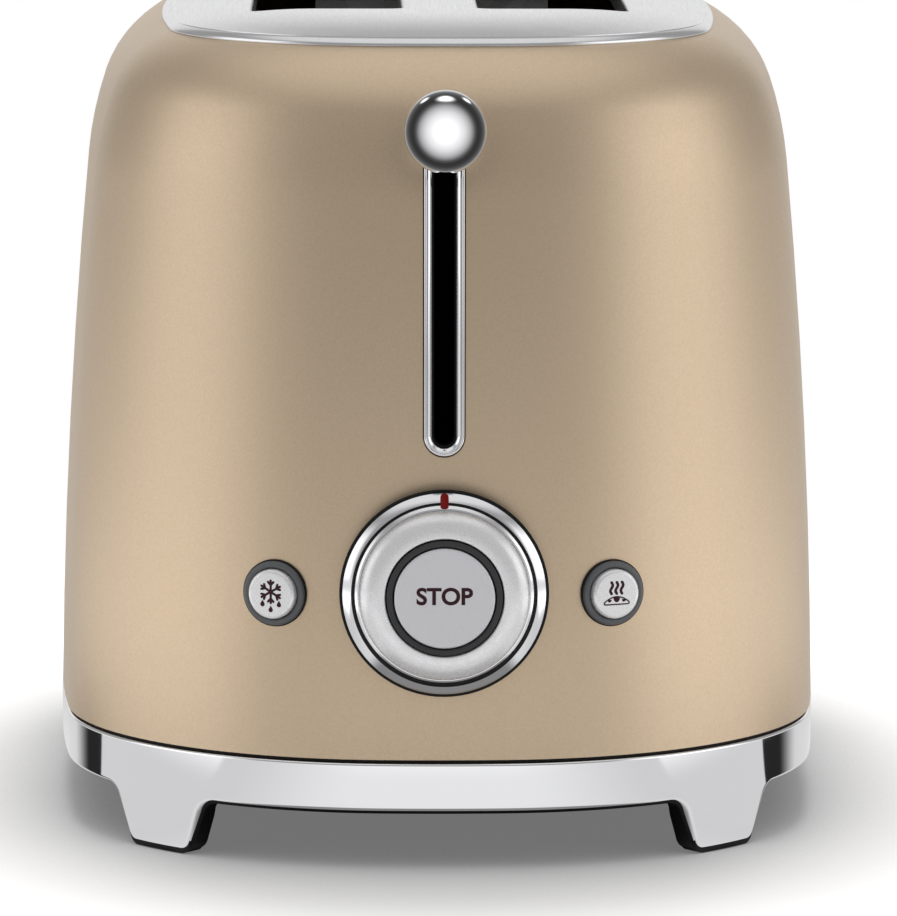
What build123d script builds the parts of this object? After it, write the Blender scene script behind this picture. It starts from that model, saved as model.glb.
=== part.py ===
"""A two slot pop up toaster, in millimetres.

+Z is up, the lever and the dial face -Y, and the origin is on the worktop under the middle of the base ring.
"""
import os
from math import asin, atan2, cos, degrees, hypot, radians, sin, sqrt

from build123d import *

# Plan outline: shallow end and side arcs joined by corner arcs
BODY_WIDTH = 191.0
BODY_LENGTH = 286.0
END_RADIUS = 272.0
CORNER_RADIUS = 82.0
SIDE_RADIUS = 686.0

# Base ring, feet and pan
PAD_HEIGHT = 1.2
PAD_INSET = 0.5
FOOT_HEIGHT = 12.8
FOOT_ANGLE = 45.4
FOOT_TOP_WIDTH = 28.6
FOOT_BOTTOM_WIDTH = 19.4
FOOT_TOE_RADIUS = 3.0
FOOT_FLARE_RADIUS = 5.0
RING_HEIGHT = 11.6
RING_WALL = 5.2
RING_EDGE = 0.9
LEDGE_WIDTH = 5.0
LEDGE_HEIGHT = 2.0
SEAL_HEIGHT = 0.8
SEAL_WIDTH = 3.6
PAN_LIFT = 0.6
PAN_THICKNESS = 1.8
VENT_WIDTH = 3.0
VENT_LENGTH = 26.0
VENT_PITCH = 9.0
VENT_COUNT = 5
WRAP_LENGTH = 96.0
WRAP_WIDTH = 38.0
WRAP_FLANGE = 9.0
WRAP_FLANGE_THICKNESS = 2.0
WRAP_DEPTH = 8.4
WRAP_EDGE = 0.6
GLAND_BORE = 7.2
GLAND_NECK = 12.0
GLAND_FLANGE = 17.0
GLAND_FLANGE_THICKNESS = 2.4
GLAND_X = 68.0
GLAND_Y = 58.0

# Body shell: a skin whose side leans in slowly and turns over a shoulder into a flat flange
SHELL_WALL = 1.0
SHELL_SETBACK = 0.1
SHELL_LEAN = 0.75
SIDE_PROFILE_RADIUS = 1628.0
SIDE_RISE = 133.3
SHOULDER_RADIUS = 85.0
SHOULDER_LEAN = 19.0
CROWN_RADIUS = 24.0
CROWN_LEAN = 69.0
FLANGE_WIDTH = 8.0

# Top plate and bread slots
PLATE_SETBACK = 0.25
PLATE_THICKNESS = 1.2
RIM_HEIGHT = 1.6
RIM_WIDTH = 1.6
PLATE_RISE = 4.5
PLATE_CROWN_WIDTH = 30.0
SLOT_WIDTH = 36.6
SLOT_LENGTH = 150.0
SLOT_SPACING = 55.6
SLOT_CORNER = 4.0
COLLAR_WALL = 1.0
COLLAR_DEPTH = 6.0

# Toasting chamber
SHEET = 1.0
END_PLATE_GAP = 9.0
END_PLATE_WIDTH = 132.0
END_PLATE_TOP = 176.0
END_PLATE_BOTTOM = 26.0
TONGUE_WIDTH = 62.0
TAB_WIDTH = 12.0
TAB_DEPTH = 10.0
TAB_INSET = 3.0
REFLECTOR_GAP = 9.8
REFLECTOR_BOTTOM = 40.0
CARD_THICKNESS = 0.8
CARD_GAP = 2.9
CARD_BOTTOM = 46.0
CARD_TOP = 168.0
RIBBON_WIDTH = 1.4
RIBBON_THICKNESS = 0.5
RIBBON_RUNS = 10
RIBBON_MARGIN = 9.0
GUARD_THICKNESS = 1.6
GUARD_INSET = 0.55
GUARD_TRAVEL = 7.0
GUARD_BOTTOM = 48.0
GUARD_TOP = 184.0
GUARD_BAR = 2.2
GUARD_COLUMNS = 9
GUARD_ROWS = 3
GUARD_END_GAP = 5.0
GUARD_TAB_HEIGHT = 4.0
GUARD_TAB_LIFT = 10.0

# Lever, carriage and latch
LEVER_REST = 176.9
LEVER_TRAVEL = 72.0
BALL_DIAMETER = 19.7
BALL_SOCKET_DEPTH = 6.0
STEM_WIDTH = 4.0
STEM_HEIGHT = 6.0
NECK_DIAMETER = 4.0
RACK_DROP = 47.0
RACK_HEIGHT = 8.0
RACK_WIDTH = 2.4
RACK_PIN_LENGTH = 10.0
RACK_PIN_HEIGHT = 2.0
RACK_PIN_COUNT = 11
RACK_TAIL = 4.0
SLIDER_SETBACK = 8.0
SLIDER_WIDTH = 42.0
SLIDER_DEPTH = 6.0
SLIDER_HEAD = 7.3
CROSSBAR_WIDTH = 64.0
CROSSBAR_HEIGHT = 9.0
SLIDER_WINDOW_WIDTH = 16.0
SLIDER_WINDOW_MARGIN = 12.0
ROD_DIAMETER = 4.0
ROD_SPACING = 28.0
ROD_BOSS_DIAMETER = 9.0
ROD_BOSS_HEIGHT = 13.6
ROD_PROUD = 1.5
BRACKET_THICKNESS = 1.5
BRACKET_GAP = 2.0
BRACKET_REACH = 14.0
SPRING_X = 26.0
SPRING_DIAMETER = 7.2
SPRING_WIRE = 0.9
SPRING_TURNS = 18
ARMATURE_LENGTH = 18.0
ARMATURE_WIDTH = 9.0
ARMATURE_THICKNESS = 2.0
MAGNET_GAP = 0.4
MAGNET_BASE_HEIGHT = 4.0
CORE_DIAMETER = 7.0
COIL_DIAMETER = 13.0
COIL_END_GAP = 2.0
PEDESTAL_HEIGHT = 7.6

# Lever slot trim
LINER_WIDTH = 4.9
LINER_WALL = 0.4
BEZEL_INNER_WIDTH = 5.8
BEZEL_THROAT = 0.9
BEZEL_FLANGE = 1.4
BEZEL_PROUD = 0.7
BEZEL_GROOVE_WIDTH = 0.5
BEZEL_GROOVE_DEPTH = 0.4
BEZEL_TAIL = 2.4
LINER_DEPTH = 7.0
LINER_FLANGE = 3.0
LINER_FLANGE_THICKNESS = 1.0

# Browning dial and stop button
DIAL_HEIGHT = 66.8
SKIRT_DIAMETER = 48.9
SKIRT_BACK = 2.3
SKIRT_FRONT = 4.9
SKIRT_GROOVE_OUTER = 45.4
SKIRT_GROOVE_INNER = 43.6
SKIRT_GROOVE_DEPTH = 1.0
SKIRT_EDGE = 0.55
CAP_DIAMETER = 40.2
CAP_EDGE = 7.0
CAP_FRONT = 9.9
CAP_LAND = 1.5
HUB_WALL = 1.6
POINTER_LENGTH = 3.8
POINTER_WIDTH = 2.0
POINTER_DEPTH = 1.0
POINTER_PROUD = 0.25
SEAT_DIAMETER = 46.6
SEAT_DEPTH = 6.0
SEAT_HUB_GAP = 1.7
SLEEVE_DIAMETER = 27.4
SLEEVE_BORE = 24.4
SLEEVE_FRONT = 10.3
STOP_FACE = 10.8
STOP_LENGTH = 9.0
STOP_TRAVEL = 2.0
STOP_EDGE = 0.5
PLUNGER_DIAMETER = 6.0
SWITCH_SIZE = 7.0
SWITCH_HEIGHT = 4.0
SWITCH_SLACK = 0.5
BOARD_DEPTH = 22.4
BOARD_THICKNESS = 1.6
BOARD_WIDTH = 92.0
BOARD_BOTTOM = 36.0
BOARD_HEADROOM = 5.0
POT_DIAMETER = 40.0
POT_HEIGHT = 8.0
POT_OVERLAP = 4.0
CARRIER_POST = 8.0
CARRIER_BEAM_HEIGHT = 6.0
CARRIER_BEAM_LIFT = 14.0

# Push buttons on the front corners
BUTTON_ANGLE = 21.5
BUTTON_HEIGHT = 65.6
BUTTON_BEZEL_DIAMETER = 15.6
BUTTON_CAP_DIAMETER = 11.9
BUTTON_BEZEL_PROUD = 0.8
BUTTON_CAP_PROUD = 2.7
BUTTON_CAP_LENGTH = 6.6
BUTTON_BARREL = 9.0
BUTTON_FLANGE_DIAMETER = 19.0
BUTTON_FLANGE_BACK = 2.1
BUTTON_FLANGE_THICKNESS = 1.2
BUTTON_TRAVEL = 1.6
BUTTON_PLUNGER_DIAMETER = 4.0

# Crumb tray
TRAY_WIDTH = 92.0
TRAY_HEIGHT = 5.4
TRAY_SHEET = 0.8
TRAY_FRONT_GAP = 7.0
PULL_DEPTH = 15.0
PULL_WIDTH = 70.0
PULL_THICKNESS = 3.0
PULL_CORNER = 6.0

# Screws
SCREW_DIAMETER = 2.8
SCREW_HEAD_DIAMETER = 4.6
SCREW_HEAD_HEIGHT = 1.4
SCREW_DEPTH = 6.0

# Clearances
SLIDE_FIT = 0.3
RUNNING_FIT = 0.06
SEAT_FIT = 0.02
LOOSE_FIT = 0.5
SCREW_FIT = 0.05

# Levels that follow from the sizes above
RING_BOTTOM = PAD_HEIGHT + FOOT_HEIGHT
RING_TOP = RING_BOTTOM + RING_HEIGHT
SHELL_BOTTOM = RING_TOP + SEAL_HEIGHT + SEAT_FIT
PAN_BOTTOM = RING_BOTTOM + PAN_LIFT
PAN_TOP = PAN_BOTTOM + PAN_THICKNESS

# Centres and half angles of the plan arcs
END_CENTRE = BODY_LENGTH / 2 - END_RADIUS
SIDE_CENTRE = BODY_WIDTH / 2 - SIDE_RADIUS


def corner_centre():
    """Centre of the back right corner arc, which touches the end arc and the side arc from inside."""
    to_end = END_RADIUS - CORNER_RADIUS
    to_side = SIDE_RADIUS - CORNER_RADIUS
    apart = hypot(SIDE_CENTRE, END_CENTRE)
    along = (to_end**2 - to_side**2 + apart**2) / (2 * apart)
    across = sqrt(to_end**2 - along**2)
    step_x = SIDE_CENTRE / apart
    step_y = -END_CENTRE / apart
    return step_x * along + step_y * across, END_CENTRE + step_y * along - step_x * across


CORNER_X, CORNER_Y = corner_centre()
END_HALF_ANGLE = degrees(atan2(CORNER_X, CORNER_Y - END_CENTRE))
SIDE_HALF_ANGLE = degrees(atan2(CORNER_Y, CORNER_X - SIDE_CENTRE))
CORNER_SWEEP = 90 - END_HALF_ANGLE - SIDE_HALF_ANGLE

# Plan arcs in order round the outline from the middle of the right side: centre, radius, start, sweep
PLAN_ARCS = (
    ((SIDE_CENTRE, 0), SIDE_RADIUS, 0, SIDE_HALF_ANGLE),
    ((CORNER_X, CORNER_Y), CORNER_RADIUS, SIDE_HALF_ANGLE, CORNER_SWEEP),
    ((0, END_CENTRE), END_RADIUS, 90 - END_HALF_ANGLE, 2 * END_HALF_ANGLE),
    ((-CORNER_X, CORNER_Y), CORNER_RADIUS, 90 + END_HALF_ANGLE, CORNER_SWEEP),
    ((-SIDE_CENTRE, 0), SIDE_RADIUS, 180 - SIDE_HALF_ANGLE, 2 * SIDE_HALF_ANGLE),
    ((-CORNER_X, -CORNER_Y), CORNER_RADIUS, 180 + SIDE_HALF_ANGLE, CORNER_SWEEP),
    ((0, -END_CENTRE), END_RADIUS, 270 - END_HALF_ANGLE, 2 * END_HALF_ANGLE),
    ((CORNER_X, -CORNER_Y), CORNER_RADIUS, 270 + END_HALF_ANGLE, CORNER_SWEEP),
    ((SIDE_CENTRE, 0), SIDE_RADIUS, 360 - SIDE_HALF_ANGLE, SIDE_HALF_ANGLE),
)

# Side profile: how far each arc turns, and the heights where the arcs meet
SIDE_LEAN = degrees(asin(sin(radians(SHELL_LEAN)) + SIDE_RISE / SIDE_PROFILE_RADIUS))
SHOULDER_BOTTOM = SHELL_BOTTOM + SIDE_RISE
CROWN_BOTTOM = SHOULDER_BOTTOM + SHOULDER_RADIUS * (sin(radians(SHOULDER_LEAN)) - sin(radians(SIDE_LEAN)))


def turn_in(radius, low_lean, high_lean):
    """How far an arc of the side profile moves inward while its lean grows."""
    return radius * (cos(radians(low_lean)) - cos(radians(high_lean)))


def inset_at(height):
    """Distance from the plan outline in to the shell's outer face at a height."""
    if height < SHOULDER_BOTTOM:
        lean = degrees(asin(sin(radians(SHELL_LEAN)) + (height - SHELL_BOTTOM) / SIDE_PROFILE_RADIUS))
        return SHELL_SETBACK + turn_in(SIDE_PROFILE_RADIUS, SHELL_LEAN, lean)
    inset = SHELL_SETBACK + turn_in(SIDE_PROFILE_RADIUS, SHELL_LEAN, SIDE_LEAN)
    if height < CROWN_BOTTOM:
        lean = degrees(asin(sin(radians(SIDE_LEAN)) + (height - SHOULDER_BOTTOM) / SHOULDER_RADIUS))
        return inset + turn_in(SHOULDER_RADIUS, SIDE_LEAN, lean)
    inset += turn_in(SHOULDER_RADIUS, SIDE_LEAN, SHOULDER_LEAN)
    lean = degrees(asin(sin(radians(SHOULDER_LEAN)) + (height - CROWN_BOTTOM) / CROWN_RADIUS))
    return inset + turn_in(CROWN_RADIUS, SHOULDER_LEAN, lean)


CROWN_RISE = CROWN_RADIUS * (sin(radians(CROWN_LEAN)) - sin(radians(SHOULDER_LEAN)))
FLANGE_TOP = CROWN_BOTTOM + CROWN_RISE
FLANGE_INSET = inset_at(CROWN_BOTTOM) + turn_in(CROWN_RADIUS, SHOULDER_LEAN, CROWN_LEAN)
PLATE_INSET = FLANGE_INSET + PLATE_SETBACK
PLATE_BOTTOM = FLANGE_TOP + SEAT_FIT
RIM_TOP = PLATE_BOTTOM + RIM_HEIGHT
PLATE_TOP = RIM_TOP + PLATE_RISE
PLATE_UNDERSIDE = PLATE_TOP - PLATE_THICKNESS
PLATE_CROWN_RADIUS = (PLATE_CROWN_WIDTH**2 + PLATE_RISE**2) / (2 * PLATE_RISE)

# Places in the chamber
SLOT_X = SLOT_SPACING / 2
END_PLATE_Y = SLOT_LENGTH / 2 + END_PLATE_GAP
CHAMBER_LENGTH = 2 * END_PLATE_Y - SHEET
CARD_OUTER_X = SLOT_X + SLOT_WIDTH / 2 + CARD_GAP
CARD_INNER_X = SLOT_X - SLOT_WIDTH / 2 - CARD_GAP
REFLECTOR_X = SLOT_X + SLOT_WIDTH / 2 + REFLECTOR_GAP
GUARD_OFFSET = SLOT_WIDTH / 2 - GUARD_INSET - GUARD_THICKNESS / 2
GUARD_LENGTH = CHAMBER_LENGTH - 2 * GUARD_END_GAP
GUARD_TAB_HEIGHTS = (GUARD_BOTTOM + GUARD_TAB_LIFT, END_PLATE_TOP - GUARD_TAB_LIFT)
TAB_X = END_PLATE_WIDTH / 2 - TAB_INSET
TAB_Y = END_PLATE_Y + (SHEET + TAB_DEPTH) / 2
TONGUE_TOP = PLATE_UNDERSIDE - SLIDE_FIT

# Places in the carriage and the latch
LEVER_LOW = LEVER_REST - LEVER_TRAVEL
RACK_TOP = LEVER_REST - RACK_DROP
RACK_BOTTOM = RACK_TOP - RACK_HEIGHT
SLIDER_Y = -(END_PLATE_Y + SLIDER_SETBACK)
SLIDER_FRONT = SLIDER_Y - SLIDER_DEPTH / 2
SLIDER_REAR = SLIDER_Y + SLIDER_DEPTH / 2
SLIDER_TOP = LEVER_REST + SLIDER_HEAD
BRACKET_BOTTOM = SLIDER_TOP + BRACKET_GAP
ARMATURE_BOTTOM = RACK_BOTTOM - ARMATURE_THICKNESS
MAGNET_TOP = ARMATURE_BOTTOM - LEVER_TRAVEL - MAGNET_GAP
PEDESTAL_TOP = PAN_TOP + PEDESTAL_HEIGHT
BALL_RADIUS = BALL_DIAMETER / 2
BALL_Y = -(BODY_LENGTH / 2 - inset_at(LEVER_LOW) + BEZEL_PROUD + SLIDE_FIT + BALL_RADIUS)
STEM_END = BALL_Y + BALL_RADIUS + LOOSE_FIT

# Lever slot heights, from the stem's lowest and highest place
LINER_BOTTOM = LEVER_LOW - STEM_HEIGHT / 2 - LOOSE_FIT
LINER_TOP = LEVER_REST + STEM_HEIGHT / 2 + LOOSE_FIT
LEVER_SLOT_MIDDLE = (LINER_BOTTOM + LINER_TOP) / 2
LINER_HEIGHT = LINER_TOP - LINER_BOTTOM

# Places on the dial's axis, and in front of the shell's face there
FACE_Y = -(BODY_LENGTH / 2 - inset_at(DIAL_HEIGHT))
BOARD_FRONT = FACE_Y + BOARD_DEPTH
BOARD_TOP = LEVER_LOW - STEM_HEIGHT / 2 - BOARD_HEADROOM
DIAL_BORE = SLEEVE_DIAMETER + 2 * SLIDE_FIT
HUB_DIAMETER = DIAL_BORE + 2 * HUB_WALL
HUB_BACK = BOARD_DEPTH - POT_HEIGHT + POT_OVERLAP
DIAL_HOLE = HUB_DIAMETER + 2 * LOOSE_FIT
CAP_CROWN_DIAMETER = DIAL_BORE + 2 * CAP_LAND
SEAT_BORE = HUB_DIAMETER + 2 * SEAT_HUB_GAP

# Places of the crumb tray
TRAY_BOTTOM = PAN_TOP + SLIDE_FIT
TRAY_TOP = TRAY_BOTTOM + TRAY_HEIGHT
TRAY_FRONT = -END_PLATE_Y + TRAY_FRONT_GAP
TRAY_OPENING_WIDTH = TRAY_WIDTH + 2 * LOOSE_FIT
TRAY_OPENING_TOP = TRAY_TOP + LOOSE_FIT


def plan_face(inset, mode=Mode.ADD):
    """Fill the plan outline, drawn in by a distance, in the open sketch."""
    with BuildLine() as outline:
        for centre, radius, start, sweep_angle in PLAN_ARCS:
            CenterArc(centre, radius - inset, start, sweep_angle)
    make_face(outline.edges(), mode=mode)


def plan_band(inset, width):
    """Fill a band of a width that follows the plan outline in the open sketch."""
    plan_face(inset)
    plan_face(inset + width, mode=Mode.SUBTRACT)


def plan_path(height):
    """The plan outline as a closed path at a height."""
    with BuildLine(Plane.XY.offset(height)) as path:
        for centre, radius, start, sweep_angle in PLAN_ARCS:
            CenterArc(centre, radius, start, sweep_angle)
    return path.wire()


def profile_line(outward):
    """Draw the side profile, moved outward along its normals, and return its lower and upper end."""
    lean = radians(SHELL_LEAN)
    start = (BODY_WIDTH / 2 - SHELL_SETBACK + outward * cos(lean), SHELL_BOTTOM + outward * sin(lean))
    side = JernArc(start, (-sin(lean), cos(lean)), SIDE_PROFILE_RADIUS + outward, SIDE_LEAN - SHELL_LEAN)
    shoulder = JernArc(side @ 1, side % 1, SHOULDER_RADIUS + outward, SHOULDER_LEAN - SIDE_LEAN)
    crown = JernArc(shoulder @ 1, shoulder % 1, CROWN_RADIUS + outward, CROWN_LEAN - SHOULDER_LEAN)
    return side @ 0, crown @ 1


def skin(outer, inner):
    """A layer of the body between two distances outward from the shell's outer face."""
    with BuildPart() as layer:
        with BuildSketch(Plane.XZ):
            with BuildLine():
                outer_low, outer_high = profile_line(outer)
                inner_low, inner_high = profile_line(inner)
                Line(outer_high, inner_high)
                Line(inner_low, outer_low)
            make_face()
        sweep(path=plan_path(SHELL_BOTTOM))
    return layer.part


def crown_band(drop, depth, width, mode=Mode.ADD):
    """Sweep the top plate's domed border: its top face lowered by drop, closed depth below or above that."""
    rim_x = BODY_WIDTH / 2 - PLATE_INSET
    flat_x = rim_x - PLATE_CROWN_WIDTH
    with BuildSketch(Plane.XZ) as section:
        with BuildLine():
            dome = ThreePointArc(
                (flat_x, PLATE_TOP - drop),
                (rim_x - PLATE_CROWN_WIDTH / 2, PLATE_TOP - drop - dome_fall(PLATE_CROWN_WIDTH / 2)),
                (flat_x + width, PLATE_TOP - drop - dome_fall(width)),
            )
            Polyline(dome @ 1, (flat_x + width, depth), (flat_x, depth), dome @ 0)
        make_face()
    sweep(section.sketch, path=plan_path(PLATE_BOTTOM), mode=mode)


def dome_fall(distance):
    """How far the top plate has fallen at a distance out from its flat middle."""
    return PLATE_CROWN_RADIUS - sqrt(PLATE_CROWN_RADIUS**2 - distance**2)


def axis_plane(origin, forward):
    """A plane through an axis: its y runs forward along the axis and its x is level."""
    across = Vector(0, 0, 1).cross(Vector(forward))
    return Plane(origin=origin, x_dir=across, z_dir=across.cross(Vector(forward)))


def upright_plane(y):
    """A plane at a distance along Y that is looked at from the front: its x is X and its y is Z."""
    return Plane(origin=(0, y, 0), x_dir=(1, 0, 0), z_dir=(0, -1, 0))


def foot_plane(side, end):
    """The plane through a corner arc's centre that looks along a foot's outward direction."""
    outward = Vector(side * sin(radians(FOOT_ANGLE)), end * cos(radians(FOOT_ANGLE)), 0)
    return Plane(
        origin=(side * CORNER_X, end * CORNER_Y, 0), x_dir=Vector(0, 0, 1).cross(outward), z_dir=outward
    )


def corner_point(side, end, inset):
    """A point of the plan outline in a foot's direction, drawn in by a distance."""
    reach = CORNER_RADIUS - inset
    x = side * (CORNER_X + reach * sin(radians(FOOT_ANGLE)))
    return x, end * (CORNER_Y + reach * cos(radians(FOOT_ANGLE)))


CORNERS = ((-1, -1), (1, -1), (-1, 1), (1, 1))
FOOT_PLANES = [foot_plane(side, end) for side, end in CORNERS]
PAN_SCREW_POINTS = [corner_point(side, end, RING_WALL + LEDGE_WIDTH / 2) for side, end in CORNERS]
TAB_POINTS = [(side * TAB_X, end * TAB_Y) for side, end in CORNERS]
ROD_POINTS = [(side * ROD_SPACING / 2, SLIDER_Y) for side in (-1, 1)]
DIAL_PLANE = axis_plane((0, FACE_Y, DIAL_HEIGHT), (0, -1, 0))
DIAL_AXIS = Axis((0, FACE_Y, DIAL_HEIGHT), (0, -1, 0))


def button_forward(side):
    """The outward direction of a push button on the left (-1) or right (1) front corner."""
    return Vector(side * sin(radians(BUTTON_ANGLE)), -cos(radians(BUTTON_ANGLE)), 0)


def button_origin(side):
    """The point of the shell's outer face under a push button."""
    reach = CORNER_RADIUS - inset_at(BUTTON_HEIGHT)
    return Vector(side * CORNER_X, -CORNER_Y, BUTTON_HEIGHT) + button_forward(side) * reach


def turned(plane, *points):
    """Fill an outline of radius and forward distance, and turn it about the plane's own y axis."""
    with BuildSketch(plane) as section:
        with BuildLine():
            Polyline(*points, close=True)
        make_face()
    revolve(section.sketch, axis=Axis(plane.origin, plane.y_dir))


def upright_slot(width, height, mode=Mode.ADD):
    """Fill an upright round ended slot of an overall size in the open sketch."""
    SlotOverall(height, width, rotation=90, mode=mode)


def finish(piece, name):
    """Label a finished piece and write its STEP file."""
    piece.label = name
    export_step(piece, f"parts/{name}.step")


os.makedirs("parts", exist_ok=True)

# Body shell
with BuildPart() as body_shell:
    with BuildSketch(Plane.XZ):
        with BuildLine():
            outer_foot, outer_edge = profile_line(0)
            inner_foot, inner_edge = profile_line(-SHELL_WALL)
            flange_end = (outer_edge.X - FLANGE_WIDTH, outer_edge.Y)
            Polyline(outer_edge, flange_end, (flange_end[0], outer_edge.Y - SHELL_WALL), inner_edge)
            Line(inner_foot, outer_foot)
        make_face()
    sweep(path=plan_path(SHELL_BOTTOM))
    # Lever slot and dial hole, cut through the front only
    with BuildSketch(upright_plane(SLIDER_FRONT)):
        with Locations((0, LEVER_SLOT_MIDDLE)):
            trim_slot_width = BEZEL_INNER_WIDTH + 2 * (LINER_WALL + BEZEL_THROAT + RUNNING_FIT)
            upright_slot(trim_slot_width, LINER_HEIGHT + trim_slot_width - LINER_WIDTH)
        with Locations((0, DIAL_HEIGHT)):
            Circle(DIAL_HOLE / 2)
    extrude(amount=BODY_LENGTH, mode=Mode.SUBTRACT)
    for button_side in (-1, 1):
        with BuildSketch(Plane(origin=button_origin(button_side), z_dir=button_forward(button_side))):
            Circle(BUTTON_BEZEL_DIAMETER / 2 + SLIDE_FIT / 2)
        extrude(amount=BUTTON_BARREL, both=True, mode=Mode.SUBTRACT)
finish(body_shell.part, "body_shell")

# Top plate: a domed sheet with a turned down rim and a collar round each bread slot
with BuildPart() as top_plate:
    crown_band(0, PLATE_BOTTOM, PLATE_CROWN_WIDTH)
    with BuildSketch(Plane.XY.offset(PLATE_BOTTOM)):
        plan_face(PLATE_INSET + PLATE_CROWN_WIDTH)
    extrude(amount=PLATE_TOP - PLATE_BOTTOM)
    crown_band(PLATE_THICKNESS, PLATE_BOTTOM - PLATE_RISE, PLATE_CROWN_WIDTH - RIM_WIDTH, mode=Mode.SUBTRACT)
    with BuildSketch(Plane.XY.offset(PLATE_BOTTOM)):
        plan_face(PLATE_INSET + PLATE_CROWN_WIDTH)
    extrude(amount=PLATE_UNDERSIDE - PLATE_BOTTOM, mode=Mode.SUBTRACT)
    with BuildSketch(Plane.XY.offset(PLATE_UNDERSIDE - COLLAR_DEPTH)):
        with GridLocations(SLOT_SPACING, 0, 2, 1):
            RectangleRounded(
                SLOT_WIDTH + 2 * COLLAR_WALL, SLOT_LENGTH + 2 * COLLAR_WALL, SLOT_CORNER + COLLAR_WALL
            )
    extrude(amount=COLLAR_DEPTH + PLATE_THICKNESS)
    crown_band(0, PLATE_TOP + PLATE_RISE, PLATE_CROWN_WIDTH, mode=Mode.SUBTRACT)
    with BuildSketch(Plane.XY.offset(PLATE_UNDERSIDE - COLLAR_DEPTH)):
        with GridLocations(SLOT_SPACING, 0, 2, 1):
            RectangleRounded(SLOT_WIDTH, SLOT_LENGTH, SLOT_CORNER)
    extrude(amount=COLLAR_DEPTH + PLATE_THICKNESS, mode=Mode.SUBTRACT)
finish(top_plate.part, "top_plate")

# Feet: the ring's wall carried down at the four corners, with a flare at the top and rounded toes
with BuildPart() as feet:
    with BuildSketch(Plane.XY.offset(PAD_HEIGHT)):
        plan_band(0, RING_WALL)
    extrude(amount=FOOT_HEIGHT + RING_EDGE)
    foot_shoulder = FOOT_TOP_WIDTH / 2 + 2 * FOOT_FLARE_RADIUS
    with BuildSketch(*FOOT_PLANES) as foot_outline:
        with BuildLine():
            Polyline(
                (-foot_shoulder, RING_TOP),
                (-foot_shoulder, RING_BOTTOM),
                (-FOOT_TOP_WIDTH / 2, RING_BOTTOM),
                (-FOOT_BOTTOM_WIDTH / 2, PAD_HEIGHT),
                (FOOT_BOTTOM_WIDTH / 2, PAD_HEIGHT),
                (FOOT_TOP_WIDTH / 2, RING_BOTTOM),
                (foot_shoulder, RING_BOTTOM),
                (foot_shoulder, RING_TOP),
                close=True,
            )
        make_face()
        toes = foot_outline.vertices().group_by(Axis.Y)[0]
        fillet(toes, FOOT_TOE_RADIUS)
        ring_corners = foot_outline.vertices().filter_by_position(Axis.Y, RING_BOTTOM, RING_BOTTOM)
        flares = ring_corners.sort_by(Axis.X)[1:3]
        fillet(flares, FOOT_FLARE_RADIUS)
    extrude(amount=CORNER_RADIUS + RING_WALL, mode=Mode.INTERSECT)

# Base ring with its feet, a ledge that the pan hangs under, and the crumb tray's opening at the rear
with BuildPart() as base_ring:
    with BuildSketch(Plane.XY.offset(RING_BOTTOM)):
        plan_band(0, RING_WALL)
    extrude(amount=RING_HEIGHT)
    fillet(base_ring.faces().sort_by(Axis.Z)[-1].outer_wire().edges(), RING_EDGE)
    add(feet.part)
    with BuildSketch(Plane.XY.offset(PAN_TOP)):
        plan_band(RING_WALL - SEAT_FIT, LEDGE_WIDTH + SEAT_FIT)
    extrude(amount=LEDGE_HEIGHT)
    with BuildSketch(Plane.XY.offset(PAN_TOP)):
        with Locations(*PAN_SCREW_POINTS):
            Circle(SCREW_DIAMETER / 2 + SCREW_FIT)
    extrude(amount=LEDGE_HEIGHT, mode=Mode.SUBTRACT)
    with BuildSketch(upright_plane(END_PLATE_Y)):
        with Locations((0, TRAY_OPENING_TOP)):
            Rectangle(TRAY_OPENING_WIDTH, RING_HEIGHT, align=(Align.CENTER, Align.MAX))
    extrude(amount=-BODY_LENGTH, mode=Mode.SUBTRACT)
finish(base_ring.part, "base_ring")

# Pads under the feet
with BuildPart() as foot_pads:
    with BuildSketch(Plane.XY):
        plan_band(PAD_INSET, RING_WALL - 2 * PAD_INSET)
    extrude(amount=PAD_HEIGHT)
    with BuildSketch(*FOOT_PLANES):
        Rectangle(FOOT_BOTTOM_WIDTH - 2 * FOOT_TOE_RADIUS, 2 * PAD_HEIGHT)
    extrude(amount=CORNER_RADIUS + RING_WALL, mode=Mode.INTERSECT)
finish(foot_pads.part, "foot_pads")

# Seal between the ring and the shell
with BuildPart() as base_seal:
    with BuildSketch(Plane.XY.offset(RING_TOP)):
        plan_band(RING_EDGE, SEAL_WIDTH)
    extrude(amount=SEAL_HEIGHT)
finish(base_seal.part, "base_seal")

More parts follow.
